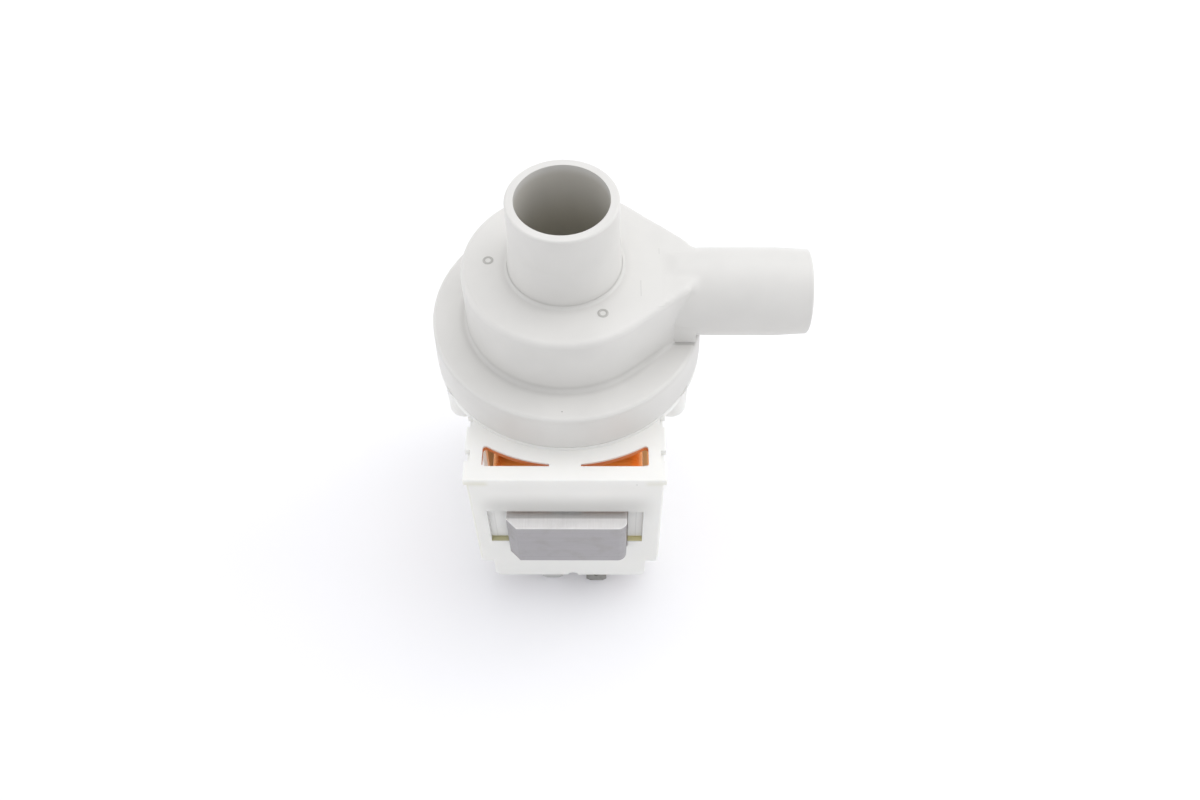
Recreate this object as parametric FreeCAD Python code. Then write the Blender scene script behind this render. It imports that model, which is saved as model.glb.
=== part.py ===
import FreeCAD, Part
import math
import os

# Drain pump with a permanent-magnet synchronous motor, standing on its motor end.
# Millimetres, +Z up the pump axis, +X along the outlet, +Y away from the steel yoke.
# The origin lies on the pump axis in the plane that the pump rests on.

os.makedirs("parts", exist_ok=True)

# Fits and working gaps
running_fit = 0.05        # radial, shaft in bearing
press_fit = 0.03          # radial, bush in boot, boot in seat
slide_fit = 0.2           # moulded part on moulded part
seal_gap = 0.05           # a seal against its land
rest_gap = 0.3            # loosely seated piece from its seat
cut_over = 1.0            # how far a cut runs past the face that it opens
weld = 0.5                # how far a rib or post sinks into the wall that it grows from
hair = 0.01               # keeps two faces from falling on each other
touching = 1e-6           # two lengths closer than this are the same
near_face = 0.1           # an edge closer than this belongs to the face

# Pump casing, heights measured from the flange's upper face
flange_top = 80.5
flange_radius = 37.5
flange_thick = 2.6
flange_edge = 1.0
skirt_height = 12.3
skirt_wall = 2.4
drum_radius = 27.85
drum_height = 19.1
drum_edge = 1.6
casing_wall = 2.4
throat_angle = 50.0       # where the flats towards the outlet leave the drum
nose_end = 33.5
nose_corner = 2.5
seal_wall_radius = 28.6
seal_wall_thick = 2.0
seal_wall_height = 7.2
casing_rib_count = 9
casing_rib_thick = 1.6
casing_rib_height = 5.0
hollow_corner = 1.0

# Hose spigots
inlet_radius = 14.5
inlet_root_radius = 15.55
inlet_bore = 12.2
inlet_height = 42.8
inlet_land = 12.0
inlet_edge = 0.6
outlet_height = 7.9
outlet_radius = 11.5
outlet_root_radius = 11.7
outlet_bore = 9.3
outlet_end = 65.6
outlet_land = 22.0
outlet_edge = 0.5
outlet_root_start = 30.8
throat_block_end = 35.4

# Fixing of the casing to the motor
screw_count = 3
screw_first_angle = 90.0
screw_circle = 34.0
casing_boss_radius = 3.1
post_radius = 4.4
post_length = 7.3
screw_radius = 1.5
screw_head_radius = 3.1
screw_head_height = 2.1
screw_bite = 9.0
screw_clearance = 0.2
pilot_gap = 0.05
pilot_spare = 0.5
counterbore_depth = 2.4
screw_slot_half = 0.4
screw_slot_depth = 0.99

# Wet rotor can and the plug that closes the pump chamber
can_radius = 13.6
can_wall = 1.3
can_tail_radius = 11.0
can_floor_wall = 1.6
plug_floor_thick = 3.4
plug_rim_inner = 23.4
plug_web_count = 6
plug_web_thick = 1.6
o_ring_section = 1.15
groove_land = 1.6
groove_play = 0.4
can_cone_offset = 0.6

# Rotor
rotor_length = 26.0
rotor_radius = 11.6
magnet_bore = 5.0
rotor_cap_thick = 1.6
shaft_radius = 2.5
washer_thick = 0.8
washer_radius = 4.8
end_float = 0.15
bearing_radius = 6.0
bearing_length = 8.0
bush_bevel = 0.4
bush_bore_bevel = 0.3
boot_radius = 9.6
boot_band = 1.8
boot_waist = 0.8
shaft_bevel = 0.4
rotor_cap_inset = 0.4
rotor_cap_bevel = 0.8
seal_radius = 7.0
seal_height = 3.4
seal_cover = 1.0
seal_float = 0.1
lip_mouth = 1.4
lip_edge_high = 0.6
lip_edge_low = 1.4
lip_skirt = 1.6
lip_root = 2.0
carrier_flange_radius = 16.4
carrier_flange_thick = 1.5
carrier_wall = 1.9
carrier_ledge_thick = 1.6
carrier_ledge_radius = 8.0
carrier_cone_high = 1.0
carrier_cone_low = 2.5

# Free-play drive between rotor and impeller
dog_hub_radius = 4.4
dog_lug_radius = 7.4
dog_half_angle = 17.0
dog_height = 5.8
damper_radius = 8.4
damper_half_angle = 26.0
stop_half_angle = 26.0
dog_float = 0.4
damper_play = 0.04
damper_end_gap = 0.1
damper_angle_play = 0.5
stop_gap = 0.5

# Impeller
impeller_radius = 20.5
impeller_lift = 0.8
blade_count = 6
blade_thick = 1.8
blade_height = 14.8
blade_shoulder = 9.3
blade_tip_radius = 17.5
back_plate_radius = 13.5
back_plate_thick = 1.5
hub_radius = 10.6
hub_wall = 1.6
hub_top_thick = 2.0
hub_dome = 2.1
hub_shoulder_drop = 1.2
hub_shoulder_rise = 0.6
hub_shoulder_step = 1.6
hub_crown_step = 5.0
blade_root_step = 2.0
blade_root_drop = 1.6
hub_cap_thick = 1.4

# Laminated core
core_mid = 37.75
lamination = 0.5
lamination_count = 39
core_half_width = 17.0
core_front = 51.6
core_back = 13.0
leg_width = 10.0
yoke_depth = 10.0
core_chamfer = 3.0
core_round = 2.6
core_tail_round = 1.5
pole_gap = 0.2
pole_step = 0.9
pole_step_angle = 55.0

# Bobbins and windings
bobbin_fit = 0.2
bobbin_wall = 1.0
bobbin_corner = 1.5
bobbin_flange_thick = 1.2
bobbin_flange_rise = 3.9
bobbin_flange_corner = 1.2
bobbin_front_gap = 0.3
bobbin_length = 23.6
winding_fill = 2.4
winding_end_gap = 0.3
wire_diameter = 0.95
wire_seat_gap = 0.04
wire_turns = 12

# Motor frame
frame_half_width = 26.7
frame_front = 46.9
frame_back = 20.2
frame_wall = 1.8
frame_floor = 20.0
bar_half_width = 22.9
bar_bottom = 8.5
bar_back = 18.0
bar_corner = 2.5
deck_half_width = 27.3
deck_front = 47.4
deck_drop = 13.8          # deck's upper face below the flange's upper face
deck_thick = 2.2
collar_radius = 37.9
collar_thick = 2.2
collar_gap = 0.2
window_half_width = 22.5
window_front = 42.8
window_arc = 42.3
window_tip = 4.3
window_corner = 0.8
deck_edge = 0.4
frame_corner = 0.8
recess_left = 22.4
recess_right = 21.5
recess_low = 30.9
recess_top_gap = 1.5
recess_core_gap = 0.3
recess_rib_depth = 3.6
clamp_pad_half = 4.1
clamp_pad_set_back = 0.9
clamp_pad_depth = 2.7
notch_length = 3.4
notch_depth = 1.5
notch_places = (28.6, 39.5)
arch_radius = 1.5
arch_x = 0.9
side_window_front = 40.0
side_window_back = 20.0
side_window_low = 27.0
side_window_high = 50.0
side_window_corner = 2.5
core_post_radius = 2.0
core_post_x = 15.4
core_post_y = 8.0
can_clearance = 0.5
pad_root = 1.0

# Terminals
tab_width = 6.3
tab_thick = 0.8
left_tab_x = -5.8
right_tab_x = 8.0
left_tab_set_back = 0.9
tab_tip = 0.6
tab_top = 21.5
tab_chamfer = 1.2
tab_hole_radius = 0.8
tab_hole_height = 3.9
tab_play = 0.05
holder_half_width = 12.5
holder_depth = 5.4
holder_height = 8.5
holder_lift = 0.5
holder_rib_thick = 1.5
holder_rib_depth = 4.0

# End cover that the pump stands on
cover_thick = 1.8
cover_front = 38.5
cover_wall = 1.8
cover_corner = 2.5
socket_wall = 1.4
socket_height = 6.0
can_pad_outer = 8.0
can_pad_inner = 5.0
vent_count = 4
vent_width = 2.4
vent_length = 14.0
vent_pitch = 5.0
vent_gap = 2.0
tongue_width = 4.0
tongue_thick = 1.6
tongue_height = 4.5
cover_screw_x = 18.3
cover_screw_y = 13.4
cover_boss_radius = 3.2
cover_boss_top = 25.0
cover_screw_radius = 1.3
cover_screw_head = 2.8
cover_screw_head_height = 1.9
cover_screw_length = 12.0
cover_slot_half = 0.35
cover_slot_depth = 0.89

# Small electrical pieces
link_wire_radius = 0.7
link_wire_drop = 3.2
link_wire_y = 31.0
link_wire_reach = 9.0
link_wire_bend = 2.2
lead_y = 34.0
lead_gap = 0.1
lead_drop = 0.4
lead_run = 2.5
lead_bend = 1.2
cutout_length = 12.0
cutout_height = 9.0
cutout_y = 30.0
cutout_corner = 1.0

# Levels that follow from the sizes above
casing_top = flange_top + drum_height
inlet_top = flange_top + inlet_height
outlet_axis = flange_top + outlet_height
plug_top = flange_top - flange_thick
plug_bottom = plug_top - seal_wall_height
groove_high = plug_bottom + 2 * groove_land + 2 * o_ring_section
groove_low = plug_bottom + 2 * groove_land - groove_play
skirt_bottom = flange_top - skirt_height
collar_top = skirt_bottom - collar_gap
collar_bottom = collar_top - collar_thick
deck_top = flange_top - deck_drop
deck_bottom = deck_top - deck_thick
post_bottom = collar_bottom - post_length
skirt_inner = flange_radius - skirt_wall
chamber_radius = drum_radius - casing_wall
chamber_top = casing_top - casing_wall
plug_radius = seal_wall_radius - slide_fit
clamp_radius = seal_wall_radius + seal_wall_thick - slide_fit
core_half = lamination * lamination_count / 2
core_top = core_mid + core_half
core_bottom = core_mid - core_half
can_inner = can_radius - can_wall
can_tail_inner = can_tail_radius - can_wall
pole_radius = can_radius + pole_gap
magnet_low = core_mid - rotor_length / 2
magnet_high = core_mid + rotor_length / 2
rotor_low = magnet_low - rotor_cap_thick
rotor_high = magnet_high + rotor_cap_thick
rear_washer_low = rotor_low - washer_thick
rear_bearing_top = rear_washer_low - end_float
rear_bearing_low = rear_bearing_top - bearing_length
can_floor = rear_bearing_low - slide_fit
can_bottom = can_floor - can_floor_wall
front_washer_top = rotor_high + washer_thick
front_bearing_low = front_washer_top + end_float
front_bearing_top = front_bearing_low + bearing_length
shaft_low = rear_bearing_low + slide_fit
impeller_low = plug_top + impeller_lift
cavity_low = impeller_low + hub_cap_thick
dog_low = cavity_low + dog_float
dog_high = dog_low + dog_height
cavity_high = dog_high + dog_float
hub_top = cavity_high + hub_top_thick
shaft_high = hub_top - slide_fit
hub_inner = hub_radius - hub_wall
cover_bottom = bar_bottom - cover_thick
leg_inner = core_half_width - leg_width
leg_mid = core_half_width - leg_width / 2
yoke_back = core_front - yoke_depth
bobbin_half_x = leg_width / 2 + bobbin_fit + bobbin_wall
bobbin_half_z = core_half + bobbin_fit + bobbin_wall
bobbin_front = yoke_back - bobbin_front_gap
bobbin_back = bobbin_front - bobbin_length
winding_front = bobbin_front - bobbin_flange_thick - winding_end_gap
winding_back = bobbin_back + bobbin_flange_thick + winding_end_gap
front_wall_inner = frame_front - frame_wall
tab_places = ((left_tab_x, left_tab_set_back), (right_tab_x, 0.0))


def vec(x, y, z):
    """A point or direction."""
    return FreeCAD.Vector(x, y, z)


def polar(radius, angle, z=0.0):
    """The point at a radius and an angle in degrees about the pump axis."""
    turn = math.radians(angle)
    return vec(radius * math.cos(turn), radius * math.sin(turn), z)


def rod(radius, low, high, x=0.0, y=0.0):
    """An upright round bar."""
    return Part.makeCylinder(radius, high - low, vec(x, y, low))


def ring(outer, inner, low, high, x=0.0, y=0.0):
    """An upright tube."""
    return rod(outer, low, high, x, y).cut(rod(inner, low - cut_over, high + cut_over, x, y))


def block(x0, x1, y0, y1, z0, z1):
    """A box between two corners."""
    return Part.makeBox(x1 - x0, y1 - y0, z1 - z0, vec(x0, y0, z0))


def upright_edges(shape, keep=None):
    """The straight edges along Z, filtered by a test of their middle point."""
    found = []
    for edge in shape.Edges:
        upright = edge.BoundBox.XLength < touching and edge.BoundBox.YLength < touching
        if upright and (keep is None or keep(edge.CenterOfMass)):
            found.append(edge)
    return found


def level_edges(shape, height, keep=None):
    """The edges that lie in one horizontal plane."""
    found = []
    for edge in shape.Edges:
        box = edge.BoundBox
        flat = abs(box.ZMin - height) < touching and abs(box.ZMax - height) < touching
        if flat and (keep is None or keep(edge.CenterOfMass)):
            found.append(edge)
    return found


def rounded_block(x0, x1, y0, y1, z0, z1, radius):
    """A box whose upright corners are rounded."""
    shape = block(x0, x1, y0, y1, z0, z1)
    return shape.makeFillet(radius, upright_edges(shape))


def turned(profile):
    """A solid of revolution about the pump axis from (radius, height) points."""
    points = [vec(r, 0, z) for r, z in profile]
    face = Part.Face(Part.makePolygon(points + points[:1]))
    return face.revolve(vec(0, 0, 0), vec(0, 0, 1), 360)


def sector(outer, inner, half_angle, low, high, middle=0.0):
    """A part of an upright tube, centred on one angle."""
    height = high - low
    wedge = Part.makeCylinder(outer, height, vec(0, 0, low), vec(0, 0, 1), 2 * half_angle)
    wedge.rotate(vec(0, 0, 0), vec(0, 0, 1), middle - half_angle)
    return wedge.cut(rod(inner, low - cut_over, high + cut_over))


def round_copies(shape, count, first=0.0):
    """Copies of a shape, evenly spaced about the pump axis."""
    copies = []
    for number in range(count):
        copy = shape.copy()
        copy.rotate(vec(0, 0, 0), vec(0, 0, 1), first + 360.0 * number / count)
        copies.append(copy)
    return copies


def joined(shapes):
    """One solid from shapes that meet."""
    return shapes[0].multiFuse(shapes[1:]).removeSplitter()


def mirrored_pair(shape):
    """A shape and its mirror image across the YZ plane."""
    return [shape, shape.mirror(vec(0, 0, 0), vec(1, 0, 0))]


def save(shape, name):
    """Write one named piece."""
    shape.exportStep("parts/" + name + ".step")
    solids = len(shape.Solids)
    print(name, "solids", solids, "volume", round(shape.Volume, 1), "valid", shape.isValid())


def teardrop(radius, end, corner, low, high):
    """The volute's plan: a circle with two flats that run on to the outlet."""
    turn = math.radians(throat_angle)
    start = polar(radius, throat_angle)
    side = (radius - end * math.cos(turn)) / math.sin(turn)
    arc = Part.Arc(start, vec(-radius, 0, 0), vec(start.x, -start.y, 0)).toShape()
    run = Part.makePolygon([vec(start.x, -start.y, 0), vec(end, -side, 0), vec(end, side, 0), start])
    face = Part.Face(Part.Wire([arc] + run.Edges))
    shape = face.extrude(vec(0, 0, high - low))
    shape.translate(vec(0, 0, low))
    return shape.makeFillet(corner, upright_edges(shape, lambda point: point.x > end - near_face))


def outlet_tube():
    """The outlet spigot, slightly conical at its root and truly round where a hose sits."""
    land_start = outlet_end - outlet_land
    root = Part.makeCone(
        outlet_root_radius,
        outlet_radius,
        land_start - throat_block_end,
        vec(throat_block_end, 0, outlet_axis),
        vec(1, 0, 0),
    )
    land = Part.makeCylinder(outlet_radius, outlet_land, vec(land_start, 0, outlet_axis), vec(1, 0, 0))
    rim = [edge for edge in land.Edges if abs(edge.BoundBox.XMin - outlet_end) < touching]
    throat = Part.makeCylinder(
        outlet_root_radius,
        throat_block_end - outlet_root_start,
        vec(outlet_root_start, 0, outlet_axis),
        vec(1, 0, 0),
    )
    above = block(
        outlet_root_start - cut_over,
        nose_end - nose_corner,
        -outlet_root_radius,
        outlet_root_radius,
        casing_top - drum_edge,
        casing_top + drum_edge,
    )
    return [throat.cut(above), root, land.makeFillet(outlet_edge, rim)]


def volute_casing():
    """The moulded pump casing: drum, inlet, outlet, flange, skirt and the walls beneath."""
    drum = teardrop(drum_radius, nose_end, nose_corner, plug_top, casing_top)
    drum = drum.makeFillet(drum_edge, level_edges(drum, casing_top))
    flange = rod(flange_radius, plug_top, flange_top)
    flange = flange.makeFillet(flange_edge, level_edges(flange, flange_top))
    skirt = ring(flange_radius, skirt_inner, skirt_bottom, plug_top)
    seal_wall = ring(seal_wall_radius + seal_wall_thick, seal_wall_radius, plug_bottom, plug_top)
    throat_block = block(
        chamber_radius / 2,
        throat_block_end,
        -outlet_root_radius,
        outlet_root_radius,
        plug_top,
        outlet_axis,
    )
    inlet_land_low = inlet_top - inlet_land
    inlet_root = Part.makeCone(
        inlet_root_radius, inlet_radius, inlet_land_low - chamber_top, vec(0, 0, chamber_top)
    )
    inlet = rod(inlet_radius, inlet_land_low, inlet_top)
    inlet = inlet.makeFillet(inlet_edge, level_edges(inlet, inlet_top))
    bosses = [
        rod(casing_boss_radius, skirt_bottom, plug_top, *polar(screw_circle, angle)[:2])
        for angle in screw_angles()
    ]
    rib = block(
        seal_wall_radius + seal_wall_thick / 2,
        skirt_inner + skirt_wall / 2,
        -casing_rib_thick / 2,
        casing_rib_thick / 2,
        plug_top - casing_rib_height,
        plug_top,
    )
    ribs = round_copies(rib, casing_rib_count, screw_first_angle + 180.0 / casing_rib_count)
    outer = joined(
        [drum, flange, skirt, seal_wall, throat_block, inlet_root, inlet] + outlet_tube() + bosses + ribs
    )
    pilot_low = skirt_bottom - cut_over
    pilot_high = skirt_bottom + screw_bite + pilot_spare
    pilots = [
        rod(screw_radius + pilot_gap, pilot_low, pilot_high, *polar(screw_circle, angle)[:2])
        for angle in screw_angles()
    ]
    inner_end = nose_end - casing_wall
    hollows = [
        rod(chamber_radius, plug_top - cut_over, chamber_top),
        rod(seal_wall_radius, plug_bottom - cut_over, plug_top),
        teardrop(chamber_radius, inner_end, hollow_corner, outlet_axis - outlet_bore, chamber_top),
        Part.makeCylinder(outlet_bore, outlet_end, vec(chamber_radius / 2, 0, outlet_axis), vec(1, 0, 0)),
        rod(inlet_bore, chamber_top - cut_over, inlet_top + cut_over),
    ]
    return outer.cut(hollows + pilots).removeSplitter()


def screw_angles():
    """The angles of the casing screws about the pump axis."""
    return [screw_first_angle + 360.0 * number / screw_count for number in range(screw_count)]


def rotor_can():
    """The wet can in which the rotor turns, with the plug that closes the chamber."""
    floor_low = plug_top - plug_floor_thick
    groove_radius = plug_radius - 2 * o_ring_section
    seat_radius = carrier_flange_radius + slide_fit
    tail_high = rear_bearing_top + can_wall
    body = turned(
        [
            (0, can_bottom),
            (can_tail_radius, can_bottom),
            (can_tail_radius, tail_high - can_wall),
            (can_radius, tail_high),
            (can_radius, floor_low),
            (plug_rim_inner, floor_low),
            (plug_rim_inner, collar_top),
            (clamp_radius, collar_top),
            (clamp_radius, plug_bottom),
            (plug_radius, plug_bottom),
            (plug_radius, groove_low),
            (groove_radius, groove_low),
            (groove_radius, groove_high),
            (plug_radius, groove_high),
            (plug_radius, plug_top),
            (seat_radius, plug_top),
            (seat_radius, plug_top - carrier_flange_thick),
            (can_inner, plug_top - carrier_flange_thick),
            (can_inner, tail_high + can_cone_offset),
            (can_tail_inner, tail_high - can_wall + can_cone_offset),
            (can_tail_inner, can_floor),
            (0, can_floor),
        ]
    )
    web = block(
        can_radius - weld,
        plug_rim_inner + weld,
        -plug_web_thick / 2,
        plug_web_thick / 2,
        collar_top + rest_gap,
        floor_low + weld,
    )
    return joined([body] + round_copies(web, plug_web_count))


def chamber_o_ring():
    """The ring that seals the plug in the casing."""
    middle = (groove_high + groove_low) / 2
    return Part.makeTorus(seal_wall_radius - seal_gap - o_ring_section, o_ring_section, vec(0, 0, middle))


def front_carrier():
    """The insert in the can's mouth that holds the front bearing and the shaft seal."""
    outer = can_inner - running_fit
    seat = boot_radius + press_fit
    ledge_low = front_bearing_top + press_fit
    ledge_high = ledge_low + carrier_ledge_thick
    hollow = outer - carrier_wall
    flange_low = plug_top - carrier_flange_thick
    pocket = seal_radius + press_fit
    pocket_high = plug_top - seal_cover
    pocket_low = pocket_high - seal_height - seal_float
    return turned(
        [
            (seat, front_bearing_low),
            (outer, front_bearing_low),
            (outer, flange_low),
            (carrier_flange_radius, flange_low),
            (carrier_flange_radius, plug_top),
            (dog_hub_radius, plug_top),
            (dog_hub_radius, pocket_high),
            (pocket, pocket_high),
            (pocket, pocket_low - carrier_cone_high),
            (hollow, pocket_low - carrier_cone_low),
            (hollow, ledge_high),
            (carrier_ledge_radius, ledge_high),
            (carrier_ledge_radius, ledge_low),
            (seat, ledge_low),
        ]
    )


def shaft_seal():
    """The lip seal round the shaft under the impeller."""
    high = plug_top - seal_cover - running_fit
    low = high - seal_height
    lip = shaft_radius + seal_gap
    return turned(
        [
            (seal_radius, low),
            (seal_radius, high),
            (lip + lip_mouth, high),
            (lip, high - lip_edge_high),
            (lip, high - lip_edge_low),
            (lip + lip_skirt, high - lip_root),
            (lip + lip_skirt, low),
        ]
    )


def bearing(low):
    """A plain bush with bevelled ends."""
    inner = shaft_radius + running_fit
    high = low + bearing_length
    return turned(
        [
            (inner + bush_bore_bevel, low),
            (bearing_radius - bush_bevel, low),
            (bearing_radius, low + bush_bevel),
            (bearing_radius, high - bush_bevel),
            (bearing_radius - bush_bevel, high),
            (inner + bush_bore_bevel, high),
            (inner, high - bush_bore_bevel),
            (inner, low + bush_bore_bevel),
        ]
    )


def bearing_boot(low):
    """The soft collar that holds a bush, waisted so that it can give."""
    inner = bearing_radius + press_fit
    high = low + bearing_length
    middle = low + bearing_length / 2
    return turned(
        [
            (inner, low),
            (boot_radius, low),
            (boot_radius, low + boot_band),
            (boot_radius - boot_waist, middle),
            (boot_radius, high - boot_band),
            (boot_radius, high),
            (inner, high),
        ]
    )


def thrust_washer(low):
    """A disc on the shaft between the rotor and a bearing."""
    return ring(washer_radius, shaft_radius, low, low + washer_thick)


def rotor_shaft():
    """The shaft with bevelled ends."""
    return turned(
        [
            (0, shaft_low),
            (shaft_radius - shaft_bevel, shaft_low),
            (shaft_radius, shaft_low + shaft_bevel),
            (shaft_radius, shaft_high - shaft_bevel),
            (shaft_radius - shaft_bevel, shaft_high),
            (0, shaft_high),
        ]
    )


def rotor_carrier():
    """The moulding that joins the magnet to the shaft, with a cap at each end."""
    cap_radius = rotor_radius - rotor_cap_inset
    return turned(
        [
            (shaft_radius, rotor_low),
            (cap_radius - rotor_cap_bevel, rotor_low),
            (cap_radius, rotor_low + rotor_cap_bevel),
            (cap_radius, magnet_low),
            (magnet_bore, magnet_low),
            (magnet_bore, magnet_high),
            (cap_radius, magnet_high),
            (cap_radius, rotor_high - rotor_cap_bevel),
            (cap_radius - rotor_cap_bevel, rotor_high),
            (shaft_radius, rotor_high),
        ]
    )


def rotor_magnet():
    """The two-pole ring magnet."""
    return ring(rotor_radius, magnet_bore, magnet_low, magnet_high)


def drive_dog():
    """The dog on the shaft that carries the impeller round after its free turn."""
    hub = ring(dog_hub_radius, shaft_radius, dog_low, dog_high)
    lug = sector(dog_lug_radius, dog_hub_radius - weld, dog_half_angle, dog_low, dog_high)
    return joined([hub, lug])


def dog_damper():
    """The rubber cap over the dog's lug."""
    low = dog_low + damper_end_gap
    high = dog_high - damper_end_gap
    inner = dog_hub_radius + damper_play
    whole = sector(damper_radius, inner, damper_half_angle, low, high)
    lug = sector(
        dog_lug_radius + damper_play,
        inner - cut_over,
        dog_half_angle + damper_angle_play,
        low - cut_over,
        high + cut_over,
    )
    return whole.cut(lug)


def impeller():
    """Hub, back plate and straight blades, which pump alike in either direction."""
    shell = turned(
        [
            (hub_inner, impeller_low),
            (hub_radius, impeller_low),
            (hub_radius, hub_top - hub_shoulder_drop),
            (hub_radius - hub_shoulder_step, hub_top + hub_shoulder_rise),
            (hub_radius - hub_crown_step, hub_top + hub_dome),
            (0, hub_top + hub_dome),
            (0, hub_top),
            (shaft_radius + running_fit, hub_top),
            (shaft_radius + running_fit, cavity_high),
            (hub_inner, cavity_high),
        ]
    )
    root = hub_inner + hub_wall / 2
    plate = ring(back_plate_radius, root, impeller_low, impeller_low + back_plate_thick)
    stop = sector(
        root,
        dog_hub_radius + stop_gap,
        stop_half_angle,
        cavity_low + slide_fit,
        cavity_high + hub_top_thick / 2,
        180.0,
    )
    outline = [
        vec(root, 0, impeller_low),
        vec(impeller_radius, 0, impeller_low),
        vec(impeller_radius, 0, impeller_low + blade_shoulder),
        vec(blade_tip_radius, 0, impeller_low + blade_height),
        vec(root + blade_root_step, 0, impeller_low + blade_height),
        vec(root, 0, hub_top - blade_root_drop),
    ]
    blade = Part.Face(Part.makePolygon(outline + outline[:1])).extrude(vec(0, blade_thick, 0))
    blade.translate(vec(0, -blade_thick / 2, 0))
    return joined([shell, plate, stop] + round_copies(blade, blade_count, 180.0 / blade_count))


def impeller_hub_cap():
    """The disc that closes the hub and steadies the impeller on the shaft."""
    return ring(hub_inner - running_fit, shaft_radius + running_fit, impeller_low, cavity_low)


def core_stack():
    """The U of laminations, with stepped pole faces round the can."""
    width = core_half_width
    outline = block(-width, width, -core_front, core_back, core_bottom, core_top)
    low = core_bottom - cut_over
    high = core_top + cut_over
    left_front = upright_edges(outline, lambda point: point.x < 0 and point.y < 0)
    outline = outline.makeChamfer(core_chamfer, left_front)
    right_front = upright_edges(outline, lambda point: point.x > 0 and point.y < 0)
    outline = outline.makeFillet(core_round, right_front)
    tails = upright_edges(outline, lambda point: abs(point.x) > width - near_face and point.y > 0)
    outline = outline.makeFillet(core_tail_round, tails)
    slot = block(-leg_inner, leg_inner, -yoke_back, core_back + cut_over, low, high)
    bore = rod(pole_radius, low, high)
    steps = [
        sector(pole_radius + pole_step, pole_radius / 2, pole_step_angle / 2, low, high, middle)
        for middle in (pole_step_angle / 2, 180.0 + pole_step_angle / 2)
    ]
    return outline.cut([slot, bore] + steps).removeSplitter()


def leg_sleeve(grow, front, back, radius):
    """A box round the right leg, this much larger than its bobbin's tube, with rounded edges along Y."""
    shape = block(
        leg_mid - bobbin_half_x - grow,
        leg_mid + bobbin_half_x + grow,
        -front,
        -back,
        core_mid - bobbin_half_z - grow,
        core_mid + bobbin_half_z + grow,
    )
    edges = [edge for edge in shape.Edges if edge.BoundBox.YLength > front - back - touching]
    return shape.makeFillet(radius, edges) if radius else shape


def bobbin():
    """The right-hand bobbin: a square tube with a flange at each end."""
    tube = leg_sleeve(0.0, bobbin_front, bobbin_back, bobbin_corner)
    front = leg_sleeve(
        bobbin_flange_rise, bobbin_front, bobbin_front - bobbin_flange_thick, bobbin_flange_corner
    )
    back = leg_sleeve(
        bobbin_flange_rise, bobbin_back + bobbin_flange_thick, bobbin_back, bobbin_flange_corner
    )
    bore = leg_sleeve(-bobbin_wall, bobbin_front + cut_over, bobbin_back - cut_over, 0.0)
    return joined([tube, front, back]).cut(bore)


def biarc(start, start_dir, end, end_dir):
    """Two arcs that join two points with the given directions, as edges."""
    chord = end.sub(start)
    total = start_dir.add(end_dir)
    spread = 2 * (1 - start_dir.dot(end_dir))
    along = chord.dot(total)
    reach = (math.sqrt(along * along + spread * chord.dot(chord)) - along) / spread
    first_corner = start + start_dir * reach
    second_corner = end - end_dir * reach
    middle = (first_corner + second_corner) * 0.5
    edges = []
    for near, corner, far in ((start, first_corner, middle), (middle, second_corner, end)):
        base = (near + far) * 0.5
        rise = corner - base
        half = (far - near).Length / 2
        lean = math.atan2(rise.Length, half)
        top = base + rise * (half * math.tan(lean / 2) / rise.Length)
        edges.append(Part.Arc(near, top, far).toShape())
    return edges


def least_gap(wire, thickness, turn_length, step=0.6, stride=3):
    """The smallest distance between neighbouring turns of one wire, from points along it."""
    points = []
    travelled = []
    length = 0.0
    for edge in wire.OrderedEdges:
        count = max(2, int(edge.Length / step))
        for point in edge.discretize(count)[:-1]:
            points.append(point)
        travelled += [length + edge.Length * number / (count - 1) for number in range(count - 1)]
        length += edge.Length
    least = math.inf
    for first in range(0, len(points), stride):
        for second in range(first, len(points)):
            apart = travelled[second] - travelled[first]
            if apart < turn_length / 2:
                continue
            if apart > 3 * turn_length / 2:
                break
            least = min(least, (points[first] - points[second]).Length)
    return least - thickness


def winding_layers():
    """The inner layers of the right-hand winding, as one square tube on the bobbin."""
    outer = leg_sleeve(winding_fill, winding_front, winding_back, bobbin_corner + winding_fill)
    return outer.cut(leg_sleeve(slide_fit / 2, winding_front, winding_back, bobbin_corner))


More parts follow.
